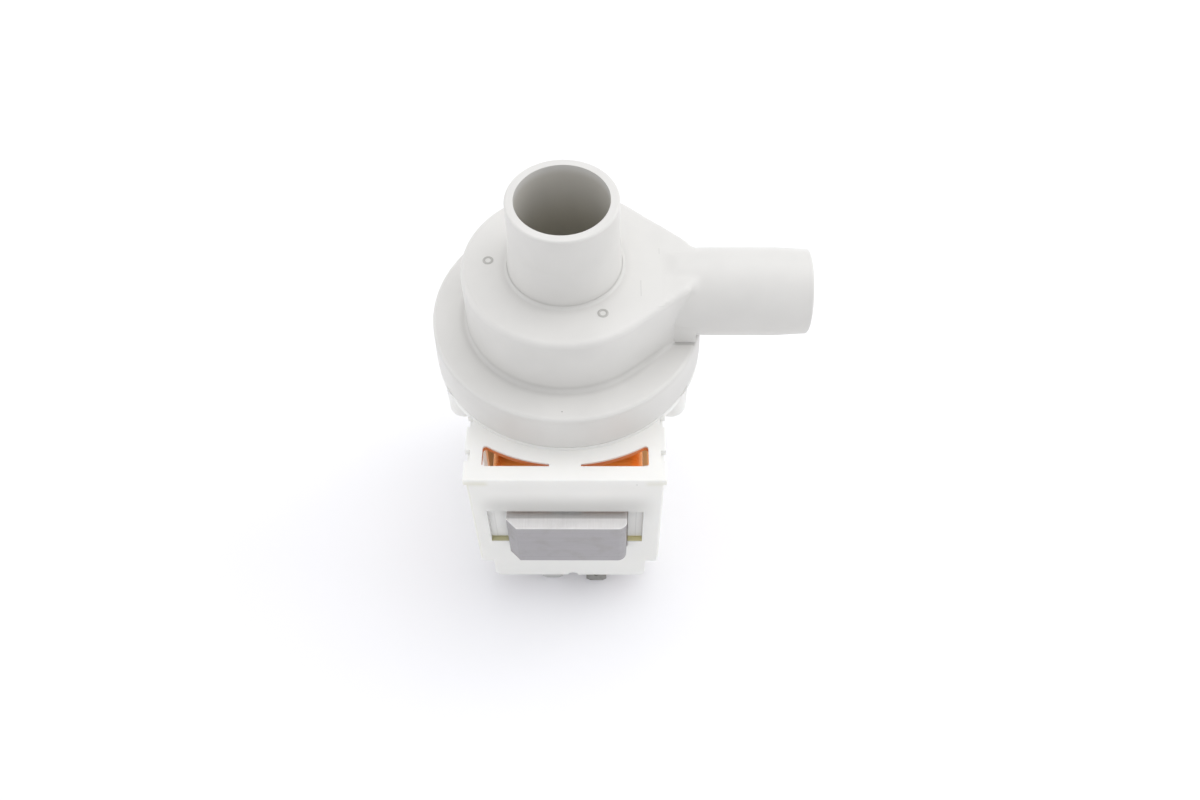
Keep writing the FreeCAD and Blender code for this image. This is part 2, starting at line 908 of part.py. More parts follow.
def winding():
    """The outer layer of the right-hand winding, as one wire wound without a break."""
    offset = winding_fill + wire_seat_gap + wire_diameter / 2
    half_x = bobbin_half_x + offset
    half_z = bobbin_half_z + offset
    bend = bobbin_corner + offset
    flat_x = half_x - bend
    flat_z = half_z - bend
    quarter = math.pi * bend / 2
    turn_length = 4 * (flat_x + flat_z) + 4 * quarter
    pitch = (winding_front - winding_back - wire_diameter - 2 * winding_end_gap) / wire_turns
    slope = pitch / turn_length
    corners = ((1, -1), (1, 1), (-1, 1), (-1, -1))
    runs = (2 * flat_x, 2 * flat_z, 2 * flat_x, 2 * flat_z)
    headings = ((1, 0), (0, 1), (-1, 0), (0, -1))

    def place(x, z, length):
        """A point of the turn, moved along the coil by the length wound so far."""
        start_y = -winding_front + wire_diameter / 2 + winding_end_gap
        return vec(leg_mid + x, start_y + slope * length, core_mid + z)

    def heading(direction):
        """The wire's direction, with the steady climb along the coil."""
        return vec(direction[0], slope, direction[1]).normalize()

    edges = []
    wound = 0.0
    for turn in range(wire_turns):
        for side in range(4):
            sign_x, sign_z = corners[side]
            now = headings[side]
            after = headings[(side + 1) % 4]
            enter_x = sign_x * flat_x if now[0] else sign_x * half_x
            enter_z = sign_z * flat_z if now[1] else sign_z * half_z
            leave_x = sign_x * flat_x if after[0] else sign_x * half_x
            leave_z = sign_z * flat_z if after[1] else sign_z * half_z
            begin = place(enter_x - now[0] * runs[side], enter_z - now[1] * runs[side], wound)
            wound += runs[side]
            enter = place(enter_x, enter_z, wound)
            edges.append(Part.makeLine(begin, enter))
            if turn == wire_turns - 1 and side == 3:
                break
            wound += quarter
            leave = place(leave_x, leave_z, wound)
            edges += biarc(enter, heading(now), leave, heading(after))
    path = Part.Wire(edges)
    start = edges[0].Vertexes[0].Point
    tangent = edges[0].tangentAt(edges[0].FirstParameter)
    section = Part.Wire(Part.makeCircle(wire_diameter / 2, start, tangent))
    turns = path.makePipeShell([section], True, False)
    gap = least_gap(path, wire_diameter, turn_length)
    expected = math.pi * wire_diameter**2 / 4 * path.Length
    print("winding gap", round(gap, 3), "volume share", round(turns.Volume / expected, 4))
    return turns


def motor_frame():
    """The white moulded cage: collar, deck, walls, lower bar, screw posts and core posts."""
    collar = rod(collar_radius, collar_bottom, collar_top)
    deck = block(-deck_half_width, deck_half_width, -deck_front, frame_back, deck_bottom, deck_top)
    deck = deck.makeFillet(deck_edge, upright_edges(deck) + level_edges(deck, deck_top))
    width = frame_half_width
    walls = block(-width, width, -frame_front, frame_back, frame_floor, deck_bottom)
    walls = walls.makeFillet(frame_corner, upright_edges(walls))
    walls = walls.cut(
        block(
            frame_wall - width,
            width - frame_wall,
            -front_wall_inner,
            frame_back - frame_wall,
            frame_floor - cut_over,
            deck_bottom,
        )
    )
    low_half = bar_half_width
    shelf_low = frame_floor - frame_wall
    shelf = rounded_block(-width, width, -frame_front, frame_back, shelf_low, frame_floor, frame_corner)
    skirt = block(-low_half, low_half, -frame_front, bar_back, bar_bottom, frame_floor)
    inside = block(
        frame_wall - low_half,
        low_half - frame_wall,
        -front_wall_inner,
        bar_back - frame_wall,
        bar_bottom - cut_over,
        frame_floor,
    )
    corners = [
        edge
        for edge in skirt.Edges
        if edge.BoundBox.YLength > frame_front and abs(edge.CenterOfMass.z - bar_bottom) < touching
    ]
    skirt = skirt.makeFillet(bar_corner, corners)
    posts = [
        rod(post_radius, post_bottom, collar_top, *polar(screw_circle, angle)[:2])
        for angle in screw_angles()
    ]
    core_posts = [
        rod(core_post_radius, core_top, deck_bottom + weld, side * core_post_x, place)
        for side in (-1, 1)
        for place in (-core_post_y, core_post_y)
    ]
    cover_bosses = [
        rod(cover_boss_radius, bar_bottom, cover_boss_top, side * cover_screw_x, cover_screw_y)
        for side in (-1, 1)
    ]
    pad = block(
        -clamp_pad_half,
        clamp_pad_half,
        -frame_front + clamp_pad_set_back,
        -frame_front + clamp_pad_set_back + clamp_pad_depth,
        core_top,
        core_top + recess_top_gap + pad_root,
    )
    rib = block(
        holder_half_width + tab_play,
        holder_half_width + tab_play + holder_rib_thick,
        -front_wall_inner - weld,
        -front_wall_inner + holder_rib_depth,
        bar_bottom + holder_lift,
        bar_bottom + holder_lift + holder_height,
    )
    solid = joined([collar, deck, walls, shelf, skirt])
    solid = solid.cut(inside)
    cuts = [rod(can_radius + can_clearance, deck_bottom - cut_over, collar_top + cut_over)]
    cuts += mirrored_pair(deck_window())
    recess_high = core_top + recess_top_gap
    outside = -frame_front - cut_over
    behind = -front_wall_inner + cut_over
    cuts.append(block(-recess_left, recess_right, outside, behind, recess_low, recess_high))
    passage = core_half_width + recess_core_gap
    passage_low = core_bottom - recess_core_gap
    cuts.append(block(-passage, passage, outside, behind, passage_low, recess_high))
    for place in notch_places:
        notch = block(
            deck_half_width - notch_depth,
            deck_half_width + cut_over,
            -place - notch_length / 2,
            -place + notch_length / 2,
            deck_bottom - hair,
            deck_top + cut_over,
        )
        cuts += mirrored_pair(notch)
    arch_start = vec(arch_x, outside, bar_bottom)
    cuts.append(Part.makeCylinder(arch_radius, frame_wall + 2 * cut_over, arch_start, vec(0, 1, 0)))
    cuts += mirrored_pair(side_window())
    solid = solid.cut(cuts)
    recess_ribs = [
        block(
            start,
            end,
            -front_wall_inner - weld,
            -front_wall_inner + recess_rib_depth,
            frame_floor - weld,
            deck_bottom + weld,
        )
        for start, end in ((weld - width, -recess_left), (recess_right, width - weld))
    ]
    solid = joined([solid, pad] + recess_ribs + posts + core_posts + cover_bosses + mirrored_pair(rib))
    holes = []
    shank_hole = screw_radius + screw_clearance
    head_hole = screw_head_radius + screw_clearance
    head_high = post_bottom + counterbore_depth
    for angle in screw_angles():
        place = polar(screw_circle, angle)
        holes.append(rod(shank_hole, post_bottom - cut_over, collar_top + cut_over, place.x, place.y))
        holes.append(rod(head_hole, post_bottom - cut_over, head_high, place.x, place.y))
    pilot = cover_screw_radius + pilot_gap
    pilot_high = bar_bottom + cover_screw_length
    for side in (-1, 1):
        holes.append(rod(pilot, bar_bottom - cut_over, pilot_high, side * cover_screw_x, cover_screw_y))
    return solid.cut(holes).removeSplitter()


def deck_window():
    """The right-hand opening over the coil, with its arc concentric with the pump axis."""
    low = deck_bottom - cut_over
    high = deck_top + cut_over
    opening = block(window_tip, window_half_width, -window_front, -window_arc / 2, low, high)
    opening = opening.cut(rod(window_arc, low - cut_over, high + cut_over))
    corners = upright_edges(opening, lambda point: point.x > window_half_width - near_face)
    return opening.makeFillet(window_corner, corners)


def side_window():
    """The right-hand opening in the side wall that lets air reach the coil."""
    opening = block(
        frame_half_width - frame_wall - cut_over,
        frame_half_width + cut_over,
        -side_window_front,
        -side_window_back,
        side_window_low,
        side_window_high,
    )
    edges = [edge for edge in opening.Edges if edge.BoundBox.XLength > frame_wall]
    return opening.makeFillet(side_window_corner, edges)


def slotted_screw(head_radius, head_low, seat, slot_half, slot_depth, shank_radius, top, x, y):
    """An upright screw with its slotted head below."""
    head = rod(head_radius, head_low, seat, x, y)
    shank = rod(shank_radius, seat, top, x, y)
    slot = block(
        x - slot_half,
        x + slot_half,
        y - head_radius,
        y + head_radius,
        head_low - cut_over,
        head_low + slot_depth,
    )
    return joined([head, shank]).cut(slot)


def casing_screws():
    """The three screws that pull the casing on to the motor frame."""
    seat = post_bottom + counterbore_depth
    head_low = seat - screw_head_height
    top = skirt_bottom + screw_bite
    screws = []
    for angle in screw_angles():
        place = polar(screw_circle, angle)
        screws.append(
            slotted_screw(
                screw_head_radius,
                head_low,
                seat,
                screw_slot_half,
                screw_slot_depth,
                screw_radius,
                top,
                place.x,
                place.y,
            )
        )
    return Part.makeCompound(screws)


def spade_tab(middle, set_back):
    """One flat terminal with bevelled corners and a latching hole."""
    front = -front_wall_inner + tab_play + set_back
    half = tab_width / 2
    shape = block(middle - half, middle + half, front, front + tab_thick, tab_tip, tab_top)
    corners = [
        edge
        for edge in shape.Edges
        if edge.BoundBox.YLength > tab_thick / 2 and abs(edge.CenterOfMass.z - tab_tip) < touching
    ]
    shape = shape.makeChamfer(tab_chamfer, corners)
    hole_start = vec(middle, front - cut_over, tab_tip + tab_hole_height)
    hole = Part.makeCylinder(tab_hole_radius, tab_thick + 2 * cut_over, hole_start, vec(0, 1, 0))
    return shape.cut(hole)


def terminal_holder():
    """The block that traps both tabs against the lower bar."""
    low = bar_bottom + holder_lift
    shape = block(
        -holder_half_width,
        holder_half_width,
        -front_wall_inner,
        -front_wall_inner + holder_depth,
        low,
        low + holder_height,
    )
    grooves = [
        block(
            middle - tab_width / 2 - tab_play,
            middle + tab_width / 2 + tab_play,
            -front_wall_inner - cut_over,
            -front_wall_inner + set_back + tab_thick + 2 * tab_play,
            low - cut_over,
            low + holder_height + cut_over,
        )
        for middle, set_back in tab_places
    ]
    return shape.cut(grooves)


def end_cover():
    """The cover under the motor, on whose skirt the pump stands."""
    half = bar_half_width
    outer = rounded_block(-half, half, -cover_front, bar_back, 0, bar_bottom, cover_corner)
    hollow = rounded_block(
        cover_wall - half,
        half - cover_wall,
        cover_wall - cover_front,
        bar_back - cover_wall,
        -cut_over,
        cover_bottom,
        cover_corner - cover_wall / 2,
    )
    socket_inner = can_tail_radius + slide_fit
    socket = ring(socket_inner + socket_wall, socket_inner, bar_bottom, bar_bottom + socket_height)
    pad = ring(can_pad_outer, can_pad_inner, cover_bottom, can_bottom)
    core_posts = [
        rod(core_post_radius, cover_bottom, core_bottom, side * core_post_x, place)
        for side in (-1, 1)
        for place in (-core_post_y, core_post_y)
    ]
    tongue_x = half - cover_wall - slide_fit
    tongue = block(
        tongue_x - tongue_thick,
        tongue_x,
        -cover_front,
        -cover_front + tongue_width,
        cover_bottom,
        bar_bottom + tongue_height,
    )
    solid = outer.cut(hollow)
    cuts = []
    front = socket_inner + socket_wall + vent_gap
    for number in range(vent_count):
        middle = (number - (vent_count - 1) / 2) * vent_pitch
        cuts.append(
            rounded_block(
                middle - vent_width / 2,
                middle + vent_width / 2,
                -front - vent_length,
                -front,
                cover_bottom - cut_over,
                bar_bottom + cut_over,
                vent_width / 2 - hair,
            )
        )
    hole = cover_screw_radius + screw_clearance
    for side in (-1, 1):
        place = side * cover_screw_x
        cuts.append(rod(hole, cover_bottom - cut_over, bar_bottom + cut_over, place, cover_screw_y))
    solid = solid.cut(cuts)
    return joined([solid, socket, pad] + core_posts + mirrored_pair(tongue))


def cover_screws():
    """The two screws that hold the end cover."""
    head_low = cover_bottom - cover_screw_head_height
    top = bar_bottom + cover_screw_length - pilot_spare
    screws = [
        slotted_screw(
            cover_screw_head,
            head_low,
            cover_bottom,
            cover_slot_half,
            cover_slot_depth,
            cover_screw_radius,
            top,
            side * cover_screw_x,
            cover_screw_y,
        )
        for side in (-1, 1)
    ]
    return Part.makeCompound(screws)


def bent_wire(points, radius, bend):
    """A round wire through points, with an arc at each inner point."""
    edges = []
    start = points[0]
    for before, here, after in zip(points, points[1:], points[2:]):
        arrive = (here - before).normalize()
        depart = (after - here).normalize()
        setback = bend * math.tan(arrive.getAngle(depart) / 2)
        enter = here - arrive * setback
        leave = here + depart * setback
        edges.append(Part.makeLine(start, enter))
        edges += biarc(enter, arrive, leave, depart)
        start = leave
    edges.append(Part.makeLine(start, points[-1]))
    heading = (points[1] - points[0]).normalize()
    section = Part.Wire(Part.makeCircle(radius, points[0], heading))
    return Part.Wire(edges).makePipeShell([section], True, False)


def winding_underside():
    """The height of the windings' lower face."""
    return core_mid - bobbin_half_z - winding_fill - 2 * wire_seat_gap - wire_diameter


def coil_link_wire():
    """The wire that joins the two windings in series, under the coils."""
    top = winding_underside() - rest_gap
    low = top - link_wire_drop
    reach = link_wire_reach
    points = [
        vec(-reach, -link_wire_y, top),
        vec(-reach, -link_wire_y, low),
        vec(reach, -link_wire_y, low),
        vec(reach, -link_wire_y, top),
    ]
    return bent_wire(points, link_wire_radius, link_wire_bend)


def tab_lead(middle, set_back):
    """The wire from a winding to its terminal tab."""
    side = math.copysign(1, middle)
    top = winding_underside() - rest_gap
    tab_back = -front_wall_inner + set_back + tab_play + tab_thick + lead_gap
    low = tab_top - link_wire_radius - lead_drop
    start = vec(side * leg_mid, -lead_y, top)
    points = [
        start,
        vec(side * leg_mid, -lead_y, low),
        vec(middle, tab_back + lead_run, low),
        vec(middle, tab_back, low),
    ]
    return bent_wire(points, link_wire_radius, lead_bend)


def thermal_cutout():
    """The small switch between the windings that opens when they overheat."""
    half = leg_mid - bobbin_half_x - winding_fill - 2 * wire_seat_gap - wire_diameter - rest_gap
    shape = block(
        -half,
        half,
        -cutout_y - cutout_length / 2,
        -cutout_y + cutout_length / 2,
        core_mid - cutout_height / 2,
        core_mid + cutout_height / 2,
    )
    return shape.makeFillet(cutout_corner, upright_edges(shape))


right_bobbin = bobbin()
right_winding = winding()
right_layers = winding_layers()
across = (vec(0, 0, 0), vec(1, 0, 0))

pieces = {
    "volute_casing": volute_casing(),
    "chamber_o_ring": chamber_o_ring(),
    "rotor_can": rotor_can(),
    "front_bearing_carrier": front_carrier(),
    "shaft_seal": shaft_seal(),
    "front_bearing": bearing(front_bearing_low),
    "front_bearing_boot": bearing_boot(front_bearing_low),
    "rear_bearing": bearing(rear_bearing_low),
    "rear_bearing_boot": bearing_boot(rear_bearing_low),
    "rotor_shaft": rotor_shaft(),
    "rotor_magnet": rotor_magnet(),
    "rotor_carrier": rotor_carrier(),
    "front_thrust_washer": thrust_washer(rotor_high),
    "rear_thrust_washer": thrust_washer(rear_washer_low),
    "drive_dog": drive_dog(),
    "dog_damper": dog_damper(),
    "impeller": impeller(),
    "impeller_hub_cap": impeller_hub_cap(),
    "core_stack": core_stack(),
    "right_bobbin": right_bobbin,
    "left_bobbin": right_bobbin.mirror(*across),
    "right_winding": right_winding,
    "left_winding": right_winding.mirror(*across),
    "right_winding_layers": right_layers,
    "left_winding_layers": right_layers.mirror(*across),
    "coil_link_wire": coil_link_wire(),
    "left_lead_wire": tab_lead(*tab_places[0]),
    "right_lead_wire": tab_lead(*tab_places[1]),
    "thermal_cutout": thermal_cutout(),
    "motor_frame": motor_frame(),
    "casing_screws": casing_screws(),
    "left_terminal": spade_tab(*tab_places[0]),
    "right_terminal": spade_tab(*tab_places[1]),
    "terminal_holder": terminal_holder(),
    "end_cover": end_cover(),
    "cover_screws": cover_screws(),
}

for name, shape in pieces.items():
    save(shape, name)
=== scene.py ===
"""Looks of a small drain pump with a laminated-core motor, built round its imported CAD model.

Lengths are metres in the CAD frame: +Z up the pump axis, +X along the outlet, +Y away from the yoke.
"""

import logging
import math
import random
from dataclasses import dataclass, field
from enum import Enum
from typing import Optional, Sequence, Union

import bmesh
import bpy
from mathutils import Matrix, Vector

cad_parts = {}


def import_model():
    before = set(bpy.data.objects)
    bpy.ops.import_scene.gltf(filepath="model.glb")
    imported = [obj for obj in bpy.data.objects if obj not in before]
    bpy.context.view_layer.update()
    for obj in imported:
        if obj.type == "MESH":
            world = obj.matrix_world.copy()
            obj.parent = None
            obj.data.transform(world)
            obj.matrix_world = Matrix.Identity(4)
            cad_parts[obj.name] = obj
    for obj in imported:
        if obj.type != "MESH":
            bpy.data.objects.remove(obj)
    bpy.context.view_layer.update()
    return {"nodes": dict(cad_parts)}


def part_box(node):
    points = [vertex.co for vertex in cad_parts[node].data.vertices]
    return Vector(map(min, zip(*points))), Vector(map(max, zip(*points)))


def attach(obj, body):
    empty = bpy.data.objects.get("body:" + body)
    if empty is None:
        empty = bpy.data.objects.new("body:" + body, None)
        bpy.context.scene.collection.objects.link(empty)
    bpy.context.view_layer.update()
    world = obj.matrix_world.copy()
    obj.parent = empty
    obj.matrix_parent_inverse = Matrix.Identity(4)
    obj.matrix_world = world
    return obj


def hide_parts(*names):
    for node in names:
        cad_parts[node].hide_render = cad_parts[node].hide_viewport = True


LOG = logging.getLogger("drain_pump")
MM = 0.001

Colour = tuple[float, float, float]
Scale = tuple[float, float, float]
Spot = tuple[float, float, float]
Term = Union["Wire", float]
Row = list[bmesh.types.BMVert]
BLACK: Colour = (0.0, 0.0, 0.0)


class Body(Enum):
    """The CAD bodies that pieces ride on."""

    HOUSING = "housing"
    ROTOR = "rotor"
    IMPELLER = "impeller"


class Texture(Enum):
    """The surface that a mould leaves on a plastic piece."""

    SATIN = "satin"
    FINE = "fine"
    GLOSSY = "glossy"


def srgb(red: float, green: float, blue: float) -> Colour:
    """A linear colour from 0-255 display values.

    Args:
        red: Red as displayed.
        green: Green as displayed.
        blue: Blue as displayed.

    Returns:
        The linear colour.
    """

    def linear(value: float) -> float:
        """One channel in linear light."""
        share = value / 255.0
        return share / 12.92 if share <= 0.04045 else ((share + 0.055) / 1.055) ** 2.4

    return linear(red), linear(green), linear(blue)


def scaled(colour: Colour, share: float) -> Colour:
    """A colour made darker or lighter, up to white."""
    return tuple(min(channel * share, 1.0) for channel in colour)


class Wire:
    """A node's output that can be used in Python expressions on numbers."""

    def __init__(self, tree: "Tree", socket: bpy.types.NodeSocket) -> None:
        """Keeps the socket and the tree that new nodes go into."""
        self.tree = tree
        self.socket = socket

    def __add__(self, other: Term) -> "Wire":
        """Sum."""
        return self.tree.maths("ADD", self, other)

    __radd__ = __add__

    def __sub__(self, other: Term) -> "Wire":
        """Difference."""
        return self.tree.maths("SUBTRACT", self, other)

    def __rsub__(self, other: Term) -> "Wire":
        """Difference from a number."""
        return self.tree.maths("SUBTRACT", other, self)

    def __mul__(self, other: Term) -> "Wire":
        """Product."""
        return self.tree.maths("MULTIPLY", self, other)

    __rmul__ = __mul__

    def __truediv__(self, other: Term) -> "Wire":
        """Quotient."""
        return self.tree.maths("DIVIDE", self, other)

    def __rtruediv__(self, other: Term) -> "Wire":
        """A number divided by this."""
        return self.tree.maths("DIVIDE", other, self)

    def __pow__(self, other: Term) -> "Wire":
        """Power."""
        return self.tree.maths("POWER", self, other)


class Tree:
    """A node tree with one method that makes any node."""

    def __init__(self, owner: Union[bpy.types.Material, bpy.types.World]) -> None:
        """Empties the owner's node tree.

        Args:
            owner: The material or world whose nodes are built.
        """
        owner.use_nodes = True
        self.tree = owner.node_tree
        self.tree.nodes.clear()

    def node(
        self,
        kind: str,
        settings: Optional[dict] = None,
        inputs: Optional[dict] = None,
        output: Union[str, int] = 0,
    ) -> Wire:
        """Makes a node, sets it, and fills its inputs.

        Args:
            kind: The node's type name.
            settings: Attributes to set first, such as a Math node's operation.
            inputs: Values or wires by socket name or index.
            output: The output to return.

        Returns:
            The chosen output, or the first input of a node that has no output.
        """
        made = self.tree.nodes.new(kind)
        for name, value in (settings or {}).items():
            setattr(made, name, value)
        for name, value in (inputs or {}).items():
            socket = made.inputs[name]
            if isinstance(value, Wire):
                self.tree.links.new(value.socket, socket)
            elif isinstance(value, tuple) and len(value) == 3 and socket.type == "RGBA":
                socket.default_value = (*value, 1.0)
            else:
                socket.default_value = value
        return Wire(self, made.outputs[output]) if made.outputs else Wire(self, made.inputs[0])

    def maths(self, operation: str, first: Term, second: Term = 0.0) -> Wire:
        """A Math node on one or two values."""
        return self.node("ShaderNodeMath", {"operation": operation}, {0: first, 1: second})

    def clamp(self, value: Wire) -> Wire:
        """The value kept between 0 and 1."""
        return self.node("ShaderNodeClamp", None, {"Value": value})

    def mix(self, share: Term, first: Union[Wire, Colour], second: Union[Wire, Colour]) -> Wire:
        """A blend of two colours.

        Args:
            share: How much of the second colour shows.
            first: The colour at 0.
            second: The colour at 1.

        Returns:
            The blended colour.
        """
        settings = {"data_type": "RGBA"}
        return self.node("ShaderNodeMix", settings, {0: share, 6: first, 7: second}, 2)

    def place(self) -> Wire:
        """The point in the piece's own coordinates, in metres."""
        return self.node("ShaderNodeTexCoord", output="Object")

    def stretched(self, scale: Sequence[float]) -> Wire:
        """The point in the piece's coordinates, scaled along each axis."""
        settings = {"operation": "MULTIPLY"}
        return self.node("ShaderNodeVectorMath", settings, {0: self.place(), 1: tuple(scale)})

    def axis(self, name: str) -> Wire:
        """One coordinate of the point, in metres."""
        return self.node("ShaderNodeSeparateXYZ", None, {0: self.place()}, name)

    def facing(self, name: str) -> Wire:
        """One component of the surface's normal in the piece's own frame."""
        normal = self.node("ShaderNodeTexCoord", output="Normal")
        return self.node("ShaderNodeSeparateXYZ", None, {0: normal}, name)

    def reach(self) -> Wire:
        """The distance from the pump axis, in metres."""
        return self.maths("SQRT", self.axis("X") ** 2.0 + self.axis("Y") ** 2.0)

    def noise(self, size: float, detail: float = 2.0, at: Optional[Wire] = None, rough: float = 0.5) -> Wire:
        """Noise between about 0 and 1.

        Args:
            size: The size of its features in metres.
            detail: How many finer octaves it has.
            at: The coordinates, or none for the piece's own.
            rough: How strong the finer octaves are.

        Returns:
            The noise value.
        """
        inputs = {
            "Vector": at or self.place(),
            "Scale": 1.0 / size,
            "Detail": detail,
            "Roughness": rough,
        }
        return self.node("ShaderNodeTexNoise", {"noise_dimensions": "3D"}, inputs, "Fac")

    def cells(self, size: float) -> Wire:
        """Scattered points, as the distance to the nearest one in cell sizes."""
        inputs = {"Vector": self.place(), "Scale": 1.0 / size}
        return self.node("ShaderNodeTexVoronoi", None, inputs, "Distance")

    def band(self, value: Wire, low: float, high: float) -> Wire:
        """A smooth step from 0 at one value to 1 at another."""
        settings = {"interpolation_type": "SMOOTHSTEP", "clamp": True}
        return self.node("ShaderNodeMapRange", settings, {"Value": value, "From Min": low, "From Max": high})

    def bump(self, height: Wire, depth: float) -> Wire:
        """A normal from a height of 0 to 1 over a depth in metres."""
        inputs = {"Height": height, "Distance": depth, "Strength": 1.0}
        return self.node("ShaderNodeBump", None, inputs, "Normal")

    def surface(self, inputs: dict) -> None:
        """Ends the tree in one Principled surface.

        Args:
            inputs: Values or wires of the surface's sockets.
        """
        shader = self.node("ShaderNodeBsdfPrincipled", None, inputs, "BSDF")
        self.node("ShaderNodeOutputMaterial", None, {"Surface": shader})


# The upward part of a normal at which a surface stops and starts to count as upright
LEVEL, UPRIGHT = 0.7, 0.4


@dataclass(frozen=True)
class MarkOrPaintedLight:
    """A soft-edged patch of another tone on a moulding, inside a box in millimetres: a real speck, scratch or
    seam, or painted shade or painted light.
    """

    low: tuple[float, float, float]
    high: tuple[float, float, float]
    soft: float
    colour: Colour
    share: float
    upright: bool = False
    painted_glow: float = 0.0

    def mask(self, tree: Tree) -> Wire:
        """How strongly the patch shows at each point.

        Args:
            tree: The tree of the moulding's material.

        Returns:
            The strength from 0 to the patch's share.
        """
        shown: Term = self.share
        for name, low, high in zip("XYZ", self.low, self.high):
            middle = (low + high) / 2 * MM
            half = (high - low) / 2 * MM
            off = tree.maths("ABSOLUTE", tree.axis(name) - middle)
            shown = tree.band(off, half + self.soft * MM, half) * shown
        if self.upright:
            shown = shown * tree.band(tree.maths("ABSOLUTE", tree.facing("Z")), LEVEL, UPRIGHT)
        return shown


@dataclass(frozen=True)
class PaintedRingShade:
    """Painted shade in a ring about the pump axis, fading at its edges. Sizes in millimetres."""

    inner: float
    outer: float
    low: float
    high: float
    soft: float
    colour: Colour
    share: float
    painted_glow: float = 0.0

    def mask(self, tree: Tree) -> Wire:
        """How strongly the tone shows at each point.

        Args:
            tree: The tree of the moulding's material.

        Returns:
            The strength from 0 to the ring's share.
        """
        shown: Term = self.share
        across = (tree.reach(), self.inner, self.outer)
        for value, low, high in (across, (tree.axis("Z"), self.low, self.high)):
            off = tree.maths("ABSOLUTE", value - (low + high) / 2 * MM)
            half = (high - low) / 2
            shown = tree.band(off, (half + self.soft) * MM, half * MM) * shown
        return shown


@dataclass(frozen=True)
class PaintedBoreShade:
    """Painted shade inside an upright bore on the pump axis, growing with depth.

    Sizes in millimetres. The tone is whole up to near past the bore's radius, and gone at clear.
    """

    radius: float
    mouth: float
    depth: float
    colour: Colour
    share: float
    painted_glow: float = 0.0
    near: float = 0.1
    clear: float = 0.6

    def mask(self, tree: Tree) -> Wire:
        """How strongly the tone shows at each point.

        Args:
            tree: The tree of the moulding's material.

        Returns:
            The strength from 0 to the bore's share.
        """
        inside = tree.band(tree.reach(), (self.radius + self.clear) * MM, (self.radius + self.near) * MM)
        deep = tree.band(tree.axis("Z"), self.mouth * MM, (self.mouth - self.depth) * MM)
        return inside * deep * self.share


@dataclass(frozen=True)
class Finish:
    """A finish with a name, whose material its paint method fills."""

    name: str

    def make(self) -> bpy.types.Material:
        """Builds the material.

        Returns:
            The material.
        """
        material = bpy.data.materials.new(self.name)
        self.paint(Tree(material))
        return material

    def paint(self, tree: Tree) -> None:
        """Fills the material's tree."""
        raise NotImplementedError


# Size and depth of the grain that each mould leaves
GRAIN = {
    Texture.SATIN: (0.16 * MM, 0.012 * MM),
    Texture.FINE: (0.3 * MM, 0.03 * MM),
    Texture.GLOSSY: (1.2 * MM, 0.006 * MM),
}


@dataclass(frozen=True)
class Moulding(Finish):
    """Moulded plastic with a slight mottle, the mould's texture and handling marks, and any patches of
    painted shade, painted light or real marks that it is given.
    """

    colour: Colour
    roughness: float = 0.42
    texture: Texture = Texture.SATIN
    mottle: float = 0.05
    marks: float = 0.5
    translucence: float = 0.0
    scatter: float = 1.5 * MM
    tones_and_painted_light: tuple[Union[MarkOrPaintedLight, PaintedRingShade, PaintedBoreShade], ...] = ()
    mottle_size: float = 18 * MM
    haze_size: float = 0.9 * MM
    speck_size: float = 2.3 * MM
    speck_share: float = 0.22
    speck_tone: float = 0.55
    scuff_size: float = 1.6 * MM
    scuff_stretch: Scale = (0.25, 1.0, 1.6)

    def paint(self, tree: Tree) -> None:
        """Fills the material's tree.

        Args:
            tree: The material's tree.
        """
        broad = tree.noise(self.mottle_size, 3.0)
        fine = tree.noise(self.haze_size, 2.0)
        shade = scaled(self.colour, 1.0 - self.mottle)
        light = scaled(self.colour, 1.0 + self.mottle * 0.6)
        colour = tree.mix(tree.band(broad, 0.3, 0.7), shade, light)
        painted_glow: Union[Wire, Colour] = BLACK
        # Patches of painted shade and painted light, and a few real marks; painted light also glows through
        # the emission
        for tone_patch in self.tones_and_painted_light:
            mask = tone_patch.mask(tree)
            colour = tree.mix(mask, colour, tone_patch.colour)
            if tone_patch.painted_glow > 0.0:
                painted_glow = tree.mix(mask * tone_patch.painted_glow, painted_glow, tone_patch.colour)
        specks = tree.band(tree.cells(self.speck_size), 0.055, 0.03) * self.marks
        colour = tree.mix(specks * self.speck_share, colour, scaled(self.colour, self.speck_tone))
        rubbed = tree.noise(self.scuff_size, 5.0, tree.stretched(self.scuff_stretch), 0.7)
        scuffs = tree.band(rubbed, 0.6, 0.78)
        roughness = self.roughness + (fine - 0.5) * 0.1 + scuffs * (0.12 * self.marks)
        grain_size, grain_depth = GRAIN[self.texture]
        grain = tree.noise(grain_size, 1.0) * 0.7 + broad * 0.3
        tree.surface(
            {
                "Base Color": colour,
                "Roughness": roughness,
                "Emission Color": painted_glow,
                "Emission Strength": 1.0,
                "Specular IOR Level": 0.42,
                "Subsurface Weight": self.translucence,
                "Subsurface Scale": self.scatter,
                "Subsurface Radius": (1.0, 0.96, 0.88),
                "Normal": tree.bump(grain, grain_depth),
            }
        )


@dataclass(frozen=True)
class Metal(Finish):
    """Bare or plated metal with fine working marks along one direction."""

    colour: Colour
    dull: Colour
    roughness: float = 0.35
    grain: Scale = (1.0, 1.0, 1.0)
    grain_size: float = 0.4 * MM
    spots: float = 0.3
    metallic: float = 1.0
    spot_size: float = 3.2 * MM
    mark_depth: float = 0.006 * MM

    def paint(self, tree: Tree) -> None:
        """Fills the material's tree.

        Args:
            tree: The material's tree.
        """
        lines = tree.noise(self.grain_size, 3.0, tree.stretched(self.grain), 0.6)
        clouds = tree.band(tree.noise(self.spot_size, 4.0), 0.45, 0.72)
        tree.surface(
            {
                "Base Color": tree.mix(clouds * self.spots, self.colour, self.dull),
                "Roughness": self.roughness + (lines - 0.5) * 0.22 + clouds * 0.1,
                "Metallic": self.metallic,
                "Normal": tree.bump(lines, self.mark_depth),
            }
        )


